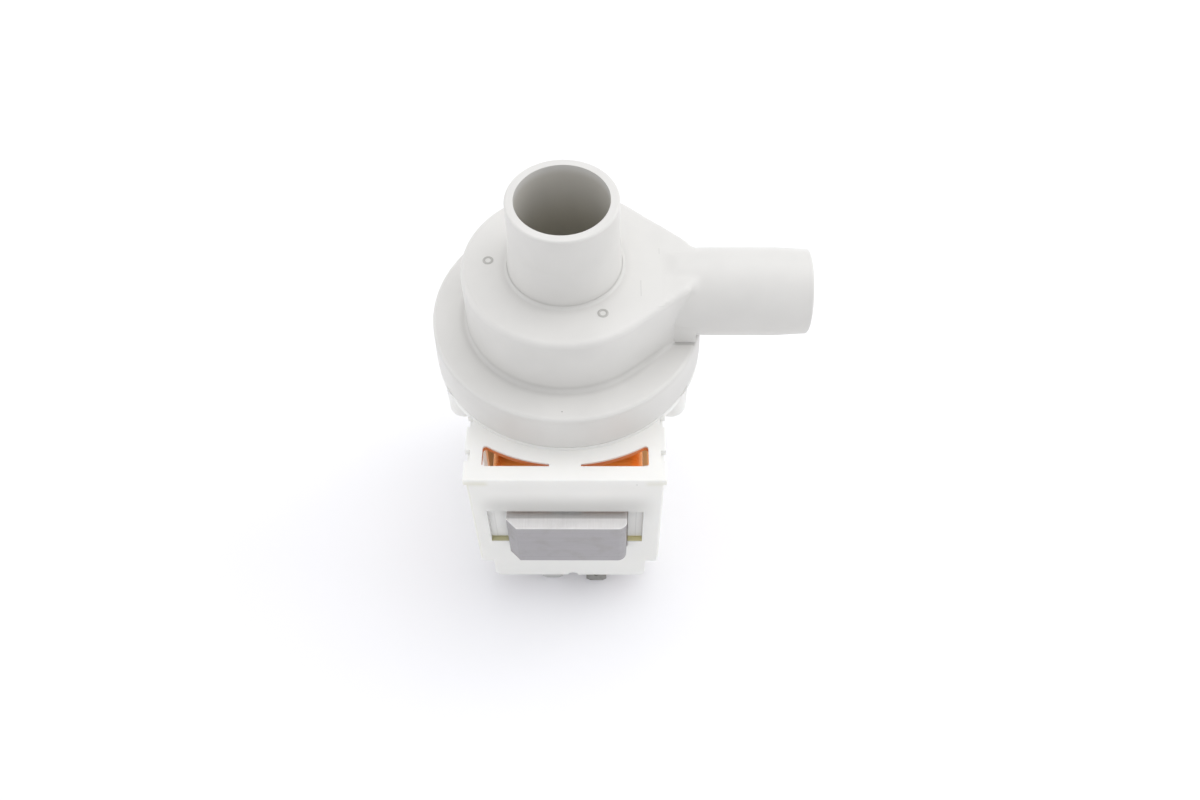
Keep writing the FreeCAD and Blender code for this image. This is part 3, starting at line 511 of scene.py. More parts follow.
@dataclass(frozen=True)
class SheetSteel(Finish):
    """Varnished electrical steel: brushed faces, and edges whose tone differs from sheet to sheet; a darker
    strip painted on the top face as the wall's shade and reflection, and a painted highlight on the burr.
    """

    face: Colour
    edge: Colour
    varnish: Colour
    sheet: float
    low: float
    streak_size: float = 0.5 * MM
    streak_stretch: Scale = (0.12, 0.12, 3.0)
    rolled_size: float = 0.35 * MM
    rolled_stretch: Scale = (1.0, 0.06, 1.0)
    pool_size: float = 4.5 * MM
    shade_strip_front: float = -48.5 * MM
    shade_strip_back: float = -48.1 * MM
    shade_strip_share: float = 0.42
    burr_highlight: Colour = (0.3, 0.3, 0.3)
    mark_depth: float = 0.01 * MM

    def paint(self, tree: Tree) -> None:
        """Fills the material's tree.

        Args:
            tree: The material's tree.
        """
        upward = tree.maths("ABSOLUTE", tree.facing("Z"))
        flat = tree.band(upward, 0.6, 0.9)
        number = tree.maths("FLOOR", (tree.axis("Z") - self.low) / self.sheet)
        tone = tree.node("ShaderNodeTexWhiteNoise", {"noise_dimensions": "1D"}, {"W": number}, "Value")
        streaks = tree.noise(self.streak_size, 3.0, tree.stretched(self.streak_stretch), 0.6)
        edge_share = (tone - 0.5) * 0.3 + (streaks - 0.5) * 0.5 + 0.5
        edge = tree.mix(tree.clamp(edge_share), scaled(self.edge, 0.86), scaled(self.edge, 1.12))
        rolled = tree.noise(self.rolled_size, 3.0, tree.stretched(self.rolled_stretch), 0.6)
        face = tree.mix(rolled, scaled(self.face, 0.9), scaled(self.face, 1.06))
        colour = tree.mix(flat, edge, face)
        pools = tree.band(tree.noise(self.pool_size, 4.0), 0.5, 0.72)
        colour = tree.mix(pools * (0.35 - flat * 0.25), colour, self.varnish)
        # Painted shade and reflection: a darker strip on the rear of the top face, under the frame's wall
        shade_strip = tree.band(tree.axis("Y"), self.shade_strip_front, self.shade_strip_back) * flat
        colour = tree.mix(shade_strip * self.shade_strip_share, colour, scaled(self.varnish, 0.45))
        # Painted highlight: the burr's sloped faces glow a little
        burr = tree.band(upward, 0.3, 0.5) * (1.0 - tree.band(upward, 0.85, 0.95))
        edge_roughness = 0.36 + pools * 0.1 + (streaks - 0.5) * 0.16
        tree.surface(
            {
                "Base Color": colour,
                "Roughness": edge_roughness * (1.0 - flat) + flat * (0.27 + rolled * 0.06),
                "Metallic": 0.9 - flat * 0.4,
                "Specular IOR Level": 0.5,
                "Coat Weight": 0.12 + pools * 0.12,
                "Coat Roughness": 0.25,
                "Emission Color": tree.mix(burr, BLACK, self.burr_highlight),
                "Emission Strength": 1.0,
                "Normal": tree.bump(rolled * flat + streaks * (1.0 - flat), self.mark_depth),
            }
        )


@dataclass(frozen=True)
class EnamelledWire(Finish):
    """Copper wire under a clear amber enamel, with a painted glow where light falls in on it."""

    copper: Colour
    shadowed: Colour
    painted_glow: float = 0.4
    turn_size: float = 1.3 * MM
    turn_stretch: Scale = (0.15, 2.2, 0.15)
    cloud_size: float = 5.0 * MM
    lit_heights: tuple[float, float] = (42.0 * MM, 52.0 * MM)
    lit_depths: tuple[float, float] = (-30.0 * MM, -38.0 * MM)
    enamel: Colour = srgb(255, 214, 160)
    turn_depth: float = 0.02 * MM

    def paint(self, tree: Tree) -> None:
        """Fills the material's tree.

        Args:
            tree: The material's tree.
        """
        turns = tree.noise(self.turn_size, 3.0, tree.stretched(self.turn_stretch), 0.6)
        clouds = tree.noise(self.cloud_size, 3.0)
        share = tree.clamp(turns * 0.75 + clouds * 0.5 - 0.2)
        colour = tree.mix(share, self.shadowed, self.copper)
        # Painted light: the turns glow on their upper front, where light falls in on them
        lit = tree.band(tree.axis("Z"), *self.lit_heights) * tree.band(tree.axis("Y"), *self.lit_depths)
        tree.surface(
            {
                "Base Color": colour,
                "Emission Color": tree.mix(lit * self.painted_glow, BLACK, colour),
                "Emission Strength": 1.0,
                "Roughness": 0.3 + (clouds - 0.5) * 0.16,
                "Metallic": 0.45,
                "Coat Weight": 0.35,
                "Coat Roughness": 0.2,
                "Coat Tint": (*self.enamel, 1.0),
                "Normal": tree.bump(turns, self.turn_depth),
            }
        )


@dataclass(frozen=True)
class SoftRubber(Finish):
    """Moulded rubber with bloom and a fine matt skin."""

    colour: Colour = srgb(30, 30, 31)
    bloom: Colour = srgb(70, 70, 70)
    bloom_size: float = 2.4 * MM
    skin_size: float = 0.12 * MM
    skin_depth: float = 0.012 * MM

    def paint(self, tree: Tree) -> None:
        """Fills the material's tree.

        Args:
            tree: The material's tree.
        """
        clouds = tree.band(tree.noise(self.bloom_size, 4.0), 0.5, 0.8)
        skin = tree.noise(self.skin_size, 2.0)
        tree.surface(
            {
                "Base Color": tree.mix(clouds * 0.4, self.colour, self.bloom),
                "Roughness": 0.62 + (skin - 0.5) * 0.2,
                "Specular IOR Level": 0.3,
                "Normal": tree.bump(skin, self.skin_depth),
            }
        )


# Painted copper light, as the coils would throw it on the frame's inner walls and the edges of its windows:
# the walls are tinted copper and glow
GLOW = srgb(206, 150, 98)
DEEP_PAINTED_GLOW = srgb(186, 106, 50)
PAINTED_WINDOW_GLOW = (
    MarkOrPaintedLight((-25.4, -43.5, 20.0), (-24.4, 0.0, 64.0), 0.1, GLOW, 0.8, painted_glow=0.3),
    MarkOrPaintedLight((24.4, -43.5, 20.0), (25.4, 0.0, 64.0), 0.1, GLOW, 0.8, painted_glow=1.4),
    MarkOrPaintedLight((-26.3, -45.4, 48.0), (-22.3, -41.0, 64.0), 0.1, GLOW, 0.8, painted_glow=0.3),
    MarkOrPaintedLight((21.4, -45.4, 48.0), (26.3, -41.0, 64.0), 0.1, GLOW, 0.8, painted_glow=0.6),
    MarkOrPaintedLight((-22.6, -42.9, 62.0), (22.6, -35.0, 65.9), 0.2, DEEP_PAINTED_GLOW, 0.9, True, 0.35),
)
# Painted shade in an olive tone on the recess's ledge and at the ends of the deck's lip
OLIVE = srgb(190, 184, 124)
PALE_OLIVE = srgb(222, 212, 150)
PAINTED_OLIVE_SHADE = (
    MarkOrPaintedLight((-22.4, -46.6, 30.7), (-17.4, -45.2, 31.2), 0.15, OLIVE, 0.75),
    MarkOrPaintedLight((17.4, -46.6, 30.7), (21.5, -45.2, 31.2), 0.15, PALE_OLIVE, 0.85),
    MarkOrPaintedLight((-27.6, -47.6, 64.3), (-22.0, -47.2, 64.9), 2.2, OLIVE, 0.22),
    MarkOrPaintedLight((23.0, -47.6, 64.3), (27.6, -47.2, 64.9), 2.2, OLIVE, 0.14),
    MarkOrPaintedLight((-27.4, -47.5, 20.0), (-26.2, -46.0, 64.0), 0.4, OLIVE, 0.12),
)
# Shade under the deck's lip and on the pad over the core, two seams in the recess, and a speck
SHADE = srgb(150, 149, 145)
SPECK = srgb(120, 118, 112)
FRAME_SHADE = (
    MarkOrPaintedLight((-18.0, -47.1, 49.4), (18.0, -46.8, 51.5), 8.0, SHADE, 0.36, True),
    MarkOrPaintedLight((-4.2, -46.3, 46.0), (4.2, -42.0, 50.4), 0.1, SHADE, 0.55),
    MarkOrPaintedLight((-20.85, -45.4, 31.2), (-20.65, -45.1, 49.2), 0.12, SHADE, 0.14),
    MarkOrPaintedLight((19.5, -45.4, 31.2), (19.65, -45.1, 49.2), 0.12, SHADE, 0.18),
    MarkOrPaintedLight((19.15, -47.6, 64.3), (19.45, -47.2, 64.7), 0.08, SPECK, 0.6),
)
# Painted shade down the inlet's bore, at the feet of drum and inlet and under the nose; a speck and scratches
CASING_SHADE = (
    PaintedBoreShade(12.2, 122.9, 3.0, srgb(184, 180, 168), 0.5),
    PaintedBoreShade(12.2, 116.0, 16.0, srgb(170, 162, 138), 0.4),
    PaintedRingShade(27.7, 28.8, 80.3, 81.2, 1.8, SHADE, 0.2),
    PaintedRingShade(15.0, 15.6, 99.5, 99.9, 2.8, SHADE, 0.14),
    MarkOrPaintedLight((29.0, -12.3, 80.4), (35.4, -11.8, 80.6), 0.5, SHADE, 0.4),
    MarkOrPaintedLight((-0.67, -34.63, 80.3), (-0.42, -34.4, 80.7), 0.08, SPECK, 0.7),
    MarkOrPaintedLight((20.04, -11.1, 99.5), (20.12, -5.8, 99.7), 0.1, SHADE, 0.3),
    MarkOrPaintedLight((25.1, 3.6, 99.5), (25.18, 5.5, 99.7), 0.1, SHADE, 0.25),
)
FRAME = Moulding(
    "frame_moulding",
    srgb(239, 239, 236),
    0.46,
    Texture.FINE,
    0.02,
    0.3,
    0.35,
    2.0 * MM,
    PAINTED_WINDOW_GLOW + PAINTED_OLIVE_SHADE + FRAME_SHADE,
)
VOLUTE = Moulding(
    "volute_moulding", srgb(219, 218, 215), 0.4, Texture.SATIN, 0.03, 0.5, tones_and_painted_light=CASING_SHADE
)
GATE_MARK = Moulding("gate_mark", srgb(182, 181, 177), 0.36, Texture.GLOSSY, 0.03, 0.3)
COVER = Moulding("cover_moulding", srgb(236, 235, 229), 0.46, Texture.FINE, 0.02, 0.3)
CAN = Moulding("can_moulding", srgb(198, 197, 192), 0.4, Texture.GLOSSY, 0.04, 0.3)
# Painted copper light on the bobbins near the windows, which also glows
PAINTED_BOBBIN_GLOW = (MarkOrPaintedLight((-25.0, -43.0, 49.0), (25.0, -36.0, 60.0), 1.5, GLOW, 0.8, painted_glow=0.3),)
BOBBIN = Moulding(
    "bobbin_moulding",
    srgb(238, 232, 220),
    0.42,
    Texture.FINE,
    0.04,
    0.3,
    0.35,
    2.0 * MM,
    PAINTED_BOBBIN_GLOW,
)
IMPELLER = Moulding("impeller_moulding", srgb(216, 215, 210), 0.4, Texture.FINE, 0.04, 0.4)
ROTOR = Moulding("rotor_moulding", srgb(70, 70, 72), 0.45, Texture.FINE, 0.08, 0.3)
WASHER = Moulding("washer_moulding", srgb(228, 224, 214), 0.3, Texture.GLOSSY, 0.05, 0.2)
SLEEVE = Moulding("lead_sleeve", srgb(222, 216, 198), 0.32, Texture.GLOSSY, 0.05, 0.2)
CUTOUT = Moulding("cutout_case", srgb(38, 38, 40), 0.3, Texture.GLOSSY, 0.1, 0.3)
FERRITE = Metal("sintered_ferrite", srgb(62, 62, 66), srgb(84, 82, 82), 0.55, metallic=0.2)
SHAFT = Metal("ground_shaft", srgb(190, 190, 192), srgb(160, 160, 162), 0.2, (1.0, 1.0, 0.05), 0.5 * MM, 0.1)
SCREW = Metal("plated_screw", srgb(196, 194, 188), srgb(168, 164, 152), 0.3, (1.0, 1.0, 1.0), 0.3 * MM, 0.4)
# One terminal metal in a lit and a shaded copy: painted light on the left terminal, painted shade on the
# right one
TAB_LIT_COPY = Metal("tab_painted_light", srgb(212, 212, 210), srgb(186, 186, 182), 0.5, (1.0, 1.0, 0.08), 0.3 * MM, 0.4)
TAB_SHADED_COPY = Metal("tab_painted_shade", srgb(168, 167, 162), srgb(128, 126, 118), 0.38, (1.0, 1.0, 0.08), 0.3 * MM, 0.5)
BUSH = Metal("sintered_bush", srgb(120, 104, 86), srgb(92, 82, 72), 0.5, spots=0.6)
RUBBER = SoftRubber("moulded_rubber")
COPPER = EnamelledWire("enamelled_copper", srgb(248, 194, 112), srgb(222, 146, 68))

NODE_FINISHES = {
    "volute_casing": VOLUTE,
    "motor_frame": FRAME,
    "terminal_holder": FRAME,
    "end_cover": COVER,
    "rotor_can": CAN,
    "front_bearing_carrier": CAN,
    "left_bobbin": BOBBIN,
    "right_bobbin": BOBBIN,
    "impeller": IMPELLER,
    "impeller_hub_cap": IMPELLER,
    "rotor_carrier": ROTOR,
    "drive_dog": ROTOR,
    "front_thrust_washer": WASHER,
    "rear_thrust_washer": WASHER,
    "coil_link_wire": SLEEVE,
    "left_lead_wire": SLEEVE,
    "right_lead_wire": SLEEVE,
    "thermal_cutout": CUTOUT,
    "rotor_magnet": FERRITE,
    "rotor_shaft": SHAFT,
    "casing_screws": SCREW,
    "cover_screws": SCREW,
    "left_terminal": TAB_LIT_COPY,
    "right_terminal": TAB_SHADED_COPY,
    "front_bearing": BUSH,
    "rear_bearing": BUSH,
    "chamber_o_ring": RUBBER,
    "shaft_seal": RUBBER,
    "front_bearing_boot": RUBBER,
    "rear_bearing_boot": RUBBER,
    "dog_damper": RUBBER,
    "left_winding": COPPER,
    "right_winding": COPPER,
    "left_winding_layers": COPPER,
    "right_winding_layers": COPPER,
}


class Wardrobe:
    """Makes each finish once and dresses pieces in it."""

    def __init__(self, nodes: dict[str, bpy.types.Object]) -> None:
        """Starts empty.

        Args:
            nodes: The CAD nodes by name.
        """
        self.nodes = nodes
        self.made: dict[str, bpy.types.Material] = {}

    def material(self, finish: Finish) -> bpy.types.Material:
        """The finish's material, built on first use.

        Args:
            finish: The finish.

        Returns:
            Its material.
        """
        if finish.name not in self.made:
            self.made[finish.name] = finish.make()
        return self.made[finish.name]

    def dress_node(self, name: str, finish: Finish) -> None:
        """Puts a finish on a CAD node's material slots.

        Args:
            name: The node's name.
            finish: The finish.
        """
        piece = self.nodes[name]
        material = self.material(finish)
        if not piece.material_slots:
            piece.data.materials.append(material)
        for place in piece.material_slots:
            place.material = material


def linked(name: str, data: bpy.types.ID) -> bpy.types.Object:
    """A new object of the scene.

    Args:
        name: The object's name.
        data: Its mesh, light or camera.

    Returns:
        The object.
    """
    made = bpy.data.objects.new(name, data)
    bpy.context.scene.collection.objects.link(made)
    return made


@dataclass
class Part:
    """A sub-assembly that makes new pieces and reports them."""

    wardrobe: Wardrobe
    body: Body = Body.HOUSING

    def add(
        self,
        name: str,
        mesh: bmesh.types.BMesh,
        finish: Finish,
        slot: str,
        replaced: Sequence[str] = (),
        smooth: float = 40.0,
    ) -> None:
        """Turns a built mesh into a named piece on its body.

        Args:
            name: The piece's name.
            mesh: The mesh, which is freed.
            finish: The finish it wears.
            slot: The record's material slot; not used.
            replaced: The CAD nodes that it stands for.
            smooth: The largest angle in degrees that is shaded smooth.
        """
        data = bpy.data.meshes.new(name)
        bmesh.ops.recalc_face_normals(mesh, faces=mesh.faces)
        mesh.to_mesh(data)
        mesh.free()
        piece = linked(name, data)
        data.materials.append(self.wardrobe.material(finish))
        data.shade_smooth()
        data.set_sharp_from_angle(angle=math.radians(smooth))
        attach(piece, self.body.value)
        if replaced:
            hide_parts(*replaced)
        LOG.info("%s: %d faces", name, len(data.polygons))


def turns_of(steps: int, shift: float = 0.0) -> list[float]:
    """Equal steps of one full turn, in radians."""
    return [math.tau * (step + shift) / steps for step in range(steps)]


def join_rings(
    mesh: bmesh.types.BMesh, rings: Sequence[Row], closed: bool = True, around: bool = True
) -> None:
    """Joins neighbouring rings by quads.

    Args:
        mesh: The mesh that holds the rings.
        rings: Rows of vertices, each as long as the others.
        closed: Whether the last ring is joined to the first.
        around: Whether each row is closed on itself.
    """
    count = len(rings[0])
    following = [*rings[1:], rings[0]] if closed else rings[1:]
    for first, second in zip(rings, following):
        for step in range(count if around else count - 1):
            after = (step + 1) % count
            mesh.faces.new((first[step], first[after], second[after], second[step]))


def tube(mesh: bmesh.types.BMesh, line: Sequence[Vector], radius: float, sides: int) -> None:
    """Adds a round tube with closed ends along a line of points.

    Args:
        mesh: The mesh that the tube goes into.
        line: The points of its centre line.
        radius: The tube's radius.
        sides: How many flats go round it.
    """
    last = len(line) - 1
    ahead = [(line[min(i + 1, last)] - line[max(i - 1, 0)]).normalized() for i in range(len(line))]
    side = ahead[0].orthogonal().normalized()
    rings = []
    for point, forward in zip(line, ahead):
        side = (side - forward * side.dot(forward)).normalized()
        other = forward.cross(side)
        ring = []
        for turn in turns_of(sides):
            across, along = side * (radius * math.cos(turn)), other * (radius * math.sin(turn))
            ring.append(mesh.verts.new(point + across + along))
        rings.append(ring)
    join_rings(mesh, rings, closed=False)
    mesh.faces.new(rings[0][::-1])
    mesh.faces.new(rings[-1])


def rounded_rectangle(half_x: float, half_z: float, corner: float, steps: int) -> list[tuple[float, float]]:
    """The corner points of a rounded rectangle, anticlockwise from its right side.

    Args:
        half_x: Half its width.
        half_z: Half its height.
        corner: The corners' radius.
        steps: How many spans each corner has.

    Returns:
        The points.
    """
    points = []
    for number, (sign_x, sign_z) in enumerate(((1, 1), (-1, 1), (-1, -1), (1, -1))):
        for step in range(steps + 1):
            turn = math.pi / 2 * (number + step / steps)
            x = sign_x * (half_x - corner) + corner * math.cos(turn)
            z = sign_z * (half_z - corner) + corner * math.sin(turn)
            points.append((x, z))
    return points


@dataclass
class Coil(Part):
    """One winding: its inner layers as a filled form, and its outer layer of fine turns."""

    side: str = "right"
    wire: float = 0.42 * MM
    turns: int = 47
    corner: float = 4.2 * MM
    sides: int = 7
    wander: float = 0.05 * MM

    corner_steps: int = 7
    fill_thick: float = 2.4 * MM
    fill_corner: float = 2.0 * MM

    def build(self) -> None:
        """Builds the winding inside its CAD node's box."""
        low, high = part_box(self.side + "_winding")
        middle = (low + high) / 2
        half = (high - low) / 2
        draw = random.Random(11 if self.side == "left" else 12)
        radius = self.wire / 2
        outline = rounded_rectangle(half.x - radius, half.z - radius, self.corner, self.corner_steps)
        mesh = bmesh.new()
        start = low.y + radius
        pitch = (high.y - low.y - self.wire) / self.turns
        line = []
        for turn in range(self.turns):
            lift = draw.uniform(-1.0, 0.4) * self.wander
            for number, (x, z) in enumerate(outline):
                along = start + pitch * (turn + number / len(outline))
                reach = Vector((x, 0.0, z)).normalized() * lift
                line.append(Vector((middle.x + x, along, middle.z + z)) + reach)
        tube(mesh, line, radius, self.sides)
        self._fill(mesh, middle, half)
        stands_for = [self.side + "_winding", self.side + "_winding_layers"]
        self.add(self.side + "_coil", mesh, COPPER, "winding_copper", stands_for, 60.0)

    def _fill(self, mesh: bmesh.types.BMesh, middle: Vector, half: Vector) -> None:
        """Adds the inner layers, a closed sleeve just under the outer turns.

        Args:
            mesh: The mesh that the sleeve goes into.
            middle: The middle of the CAD node's box.
            half: Half the box's size.
        """
        end = half.y - self.wire / 2
        inner = (half.x - self.fill_thick, half.z - self.fill_thick, self.fill_corner)
        outer = (half.x - self.wire, half.z - self.wire, self.corner)
        rings = []
        for along, shape in ((-end, inner), (-end, outer), (end, outer), (end, inner)):
            outline = rounded_rectangle(*shape, self.corner_steps)
            rings.append([mesh.verts.new((middle.x + x, middle.y + along, middle.z + z)) for x, z in outline])
        join_rings(mesh, rings)


@dataclass
class Core(Part):
    """The U core as a stack of stamped sheets, cut to the outline of the CAD solid's top face."""

    sheets: int = 39
    groove: float = 0.035 * MM
    inset: float = 0.02 * MM
    burr: float = 0.16 * MM
    weld: float = 1e-7
    level: float = 1e-6
    face: Colour = srgb(250, 248, 248)
    edge: Colour = srgb(166, 164, 166)
    varnish: Colour = srgb(160, 156, 152)
    pulls: dict[tuple[float, float], Vector] = field(default_factory=dict, init=False)
    cap_faces: list[list[Vector]] = field(default_factory=list, init=False)

    def build(self) -> None:
        """Builds the stack."""
        low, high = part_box("core_stack")
        loops = self._outline(high.z)
        mesh = bmesh.new()
        sheet = (high.z - low.z) / self.sheets
        finish = SheetSteel("sheet_steel", self.face, self.edge, self.varnish, sheet, low.z)
        levels = []
        for number in range(self.sheets):
            bottom = low.z + number * sheet
            levels.append((bottom, self.inset if number else 0.0))
            levels.append((bottom + self.groove, 0.0))
            levels.append((bottom + sheet - self.groove, 0.0))
        levels[-1] = (high.z - self.burr, 0.0)
        levels.append((high.z, self.burr))
        for loop in loops:
            self._wall(mesh, loop, levels)
        self._caps(mesh, low.z, high.z)
        self.add("core_sheets", mesh, finish, "core_steel", ["core_stack"], 30.0)

    def _outline(self, top: float) -> list[list[Vector]]:
        """The closed loops round the CAD solid's top face.

        Args:
            top: The height of the top face.

        Returns:
            The loops, each a list of points in order.
        """
        source = bmesh.new()
        source.from_mesh(self.wardrobe.nodes["core_stack"].data)
        bmesh.ops.remove_doubles(source, verts=source.verts, dist=self.weld)
        faces = [face for face in source.faces if all(abs(v.co.z - top) < self.level for v in face.verts)]

        flat = set(faces)
        rim = [edge for edge in source.edges if len([f for f in edge.link_faces if f in flat]) == 1]
        neighbours: dict[bmesh.types.BMVert, list[bmesh.types.BMVert]] = {}
        for edge in rim:
            first, second = edge.verts
            neighbours.setdefault(first, []).append(second)
            neighbours.setdefault(second, []).append(first)
        loops = []
        left = set(neighbours)
        while left:
            start = min(left, key=lambda vert: (vert.co.x, vert.co.y))
            loop = [start]
            left.discard(start)
            following = neighbours[start][0]
            while following in left:
                loop.append(following)
                left.discard(following)
                ahead = [vert for vert in neighbours[following] if vert in left]
                if not ahead:
                    break
                following = ahead[0]
            loops.append([vert.co.copy() for vert in loop])
        self.cap_faces = [[vert.co.copy() for vert in face.verts] for face in faces]
        source.free()
        return loops

    @staticmethod
    def _key(point: Vector) -> tuple[float, float]:
        """A point's place in plan, rounded so that equal points meet."""
        return round(point.x, 6), round(point.y, 6)

    def _wall(
        self,
        mesh: bmesh.types.BMesh,
        loop: Sequence[Vector],
        levels: Sequence[tuple[float, float]],
    ) -> None:
        """Adds the stack's edge round one loop, with a groove between sheets.

        Args:
            mesh: The mesh that the edge goes into.
            loop: The points of the outline.
            levels: Heights from below, each with how far the edge is drawn in there.
        """
        count = len(loop)
        area = sum(a.x * b.y - b.x * a.y for a, b in zip(loop, [*loop[1:], loop[0]]))
        turn = 1.0 if area > 0 else -1.0
        inward = []
        for step, point in enumerate(loop):
            before = (point - loop[step - 1]).normalized()
            after = (loop[(step + 1) % count] - point).normalized()
            across = (before + after).normalized()
            inward.append(Vector((-across.y, across.x, 0.0)) * turn)
            self.pulls[self._key(point)] = inward[-1]
        rings = []
        for height, inset in levels:
            points = [(p.x + pull.x * inset, p.y + pull.y * inset, height) for p, pull in zip(loop, inward)]
            rings.append([mesh.verts.new(point) for point in points])
        join_rings(mesh, rings, closed=False)

    def _caps(self, mesh: bmesh.types.BMesh, low: float, high: float) -> None:
        """Adds the top and bottom faces.

        Args:
            mesh: The mesh that the faces go into.
            low: The height of the bottom face.
            high: The height of the top face.
        """
        for corners in self.cap_faces:
            upper = [point + self.pulls[self._key(point)] * self.burr for point in corners]
            mesh.faces.new([mesh.verts.new((point.x, point.y, high)) for point in upper])
            mesh.faces.new([mesh.verts.new((point.x, point.y, low)) for point in reversed(corners)])
        bmesh.ops.remove_doubles(mesh, verts=mesh.verts, dist=self.weld)


@dataclass
class OutletSkin(Part):
    """The outlet's outside as photographed, which runs softly into the casing's nose."""

    axis_height: float = 88.4 * MM
    start: float = 24.5 * MM
    entry: float = 2.0 * MM
    sunk: float = 0.07 * MM
    root_start: float = 29.0 * MM
    land_start: float = 39.0 * MM
    lead_start: float = 56.9 * MM
    mouth: float = 65.9 * MM
    root_radius: float = 11.8 * MM
    land_radius: float = 12.0 * MM
    tip_radius: float = 11.5 * MM
    hidden_radius: float = 10.3 * MM
    bore: float = 9.28 * MM
    lip: float = 0.6 * MM
    roof: float = 11.2 * MM
    proud: float = 0.03 * MM
    nose_end: float = 33.5 * MM
    nose_half: float = 8.24 * MM
    nose_slope: float = 0.839
    nose_round: float = 1.6 * MM
    blend_round: float = 6.5 * MM
    swell_from: float = 26.0 * MM
    swell_to: float = 31.0 * MM
    swell: float = 0.55 * MM
    bend_from: float = 32.6 * MM
    fade_from: float = 31.2 * MM
    fade_to: float = 38.0 * MM
    steps: int = 120
    row_pitch: float = 0.35 * MM
    land_rows: tuple[float, ...] = (45 * MM, 51 * MM)
    lead_row: float = 61 * MM
    lip_steps: int = 6
    lip_inside: float = 1.8 * MM
    halvings: int = 30

    def build(self) -> None:
        """Builds the skin as rows round the outlet's axis, closed inside the casing's wall."""
        mesh = bmesh.new()
        rows = []
        reach = self.start
        while reach < self.fade_to:
            rows.append(self._row(mesh, reach))
            reach += self.row_pitch
        for reach in (self.fade_to, self.land_start, *self.land_rows, self.lead_start, self.lead_row):
            rows.append(self._row(mesh, reach))
        bends = [math.pi / 2 * turn / self.lip_steps for turn in range(self.lip_steps + 1)]
        tip = self._tube(self.mouth - self.lip)
        for bend in bends:
            across = tip - self.lip * (1.0 - math.cos(bend))
            rows.append(self._circle(mesh, self.mouth - self.lip * (1.0 - math.sin(bend)), across))
        for bend in bends:
            across = self.bore + self.lip * (1.0 - math.sin(bend))
            rows.append(self._circle(mesh, self.mouth - self.lip * (1.0 - math.cos(bend)), across))
        rows.append(self._circle(mesh, self.mouth - self.lip_inside, self.bore))
        rows.append(self._circle(mesh, self.mouth - self.lip_inside, self.hidden_radius))
        rows.append(self._circle(mesh, self.start, self.hidden_radius))
        join_rings(mesh, rows)
        self.add("outlet_skin", mesh, VOLUTE, "volute_plastic", smooth=32.0)

    def _tube(self, reach: float) -> float:
        """The round outlet's radius at one station.

        Args:
            reach: The distance from the pump axis.

        Returns:
            The radius.
        """
        if reach < self.land_start:
            share = max(0.0, (reach - self.root_start) / (self.land_start - self.root_start))
            return self.root_radius + (self.land_radius - self.root_radius) * share
        share = max(0.0, (reach - self.lead_start) / (self.mouth - self.lead_start))
        return self.land_radius + (self.tip_radius - self.land_radius) * share

    def _nose(self, reach: float, turn: float) -> float:
        """How far the casing's nose reaches from the outlet's axis.

        Args:
            reach: The distance from the pump axis.
            turn: The direction round the outlet's axis, from its -Y side upwards.

        Returns:
            The distance to the nose's rounded outline.
        """
        half = self.nose_half + self.nose_slope * (self.nose_end - min(reach, self.nose_end))
        rounder = self._ease(reach, self.bend_from, self.fade_to)
        bend = self.nose_round + (self.blend_round - self.nose_round) * rounder
        low, high = 0.0, 2.0 * self.land_radius
        for _ in range(self.halvings):
            middle = (low + high) / 2
            side = abs(middle * math.cos(turn)) - (half - bend)
            up = middle * math.sin(turn) - (self.roof - bend)
            off = math.hypot(max(side, 0.0), max(up, 0.0)) + min(max(side, up), 0.0)
            if off > bend:
                high = middle
            else:
                low = middle
        return low

    def _row(self, mesh: bmesh.types.BMesh, reach: float) -> Row:
        """Adds one row of the skin.

        Args:
            mesh: The mesh that the row goes into.
            reach: The distance from the pump axis.

        Returns:
            The row's vertices, round the outlet's axis.
        """
        fade = self._ease(reach, self.fade_from, self.fade_to)
        rise = self.swell * self._ease(reach, self.swell_from, self.swell_to)
        top = self.roof + self.proud + rise + (self.land_radius - self.roof - rise) * fade
        entry = min(1.0, (reach - self.start) / self.entry)
        row = []
        for turn in turns_of(self.steps, 0.5):
            across = self._tube(reach)
            if math.sin(turn) > 0.0:
                tube_reach = min(across, top / math.sin(turn))
                nose_reach = self._nose(reach, turn) + self.proud
                across = tube_reach + (max(tube_reach, nose_reach) - tube_reach) * (1.0 - fade)
            across -= (1.0 - entry) * self.sunk
            row.append(self._vertex(mesh, reach, across, turn))
        return row

    @staticmethod
    def _ease(value: float, low: float, high: float) -> float:
        """How far a value has gone from low to high, eased at both ends."""
        share = min(max((value - low) / (high - low), 0.0), 1.0)
        return share * share * (3.0 - 2.0 * share)

    def _circle(self, mesh: bmesh.types.BMesh, reach: float, across: float) -> Row:
        """Adds one round row."""
        return [self._vertex(mesh, reach, across, turn) for turn in turns_of(self.steps, 0.5)]

    def _vertex(
        self, mesh: bmesh.types.BMesh, reach: float, across: float, turn: float
    ) -> bmesh.types.BMVert:
        """Adds one vertex at a distance and a direction from the outlet's axis."""
        height = self.axis_height + across * math.sin(turn)
        return mesh.verts.new((reach, across * math.cos(turn), height))


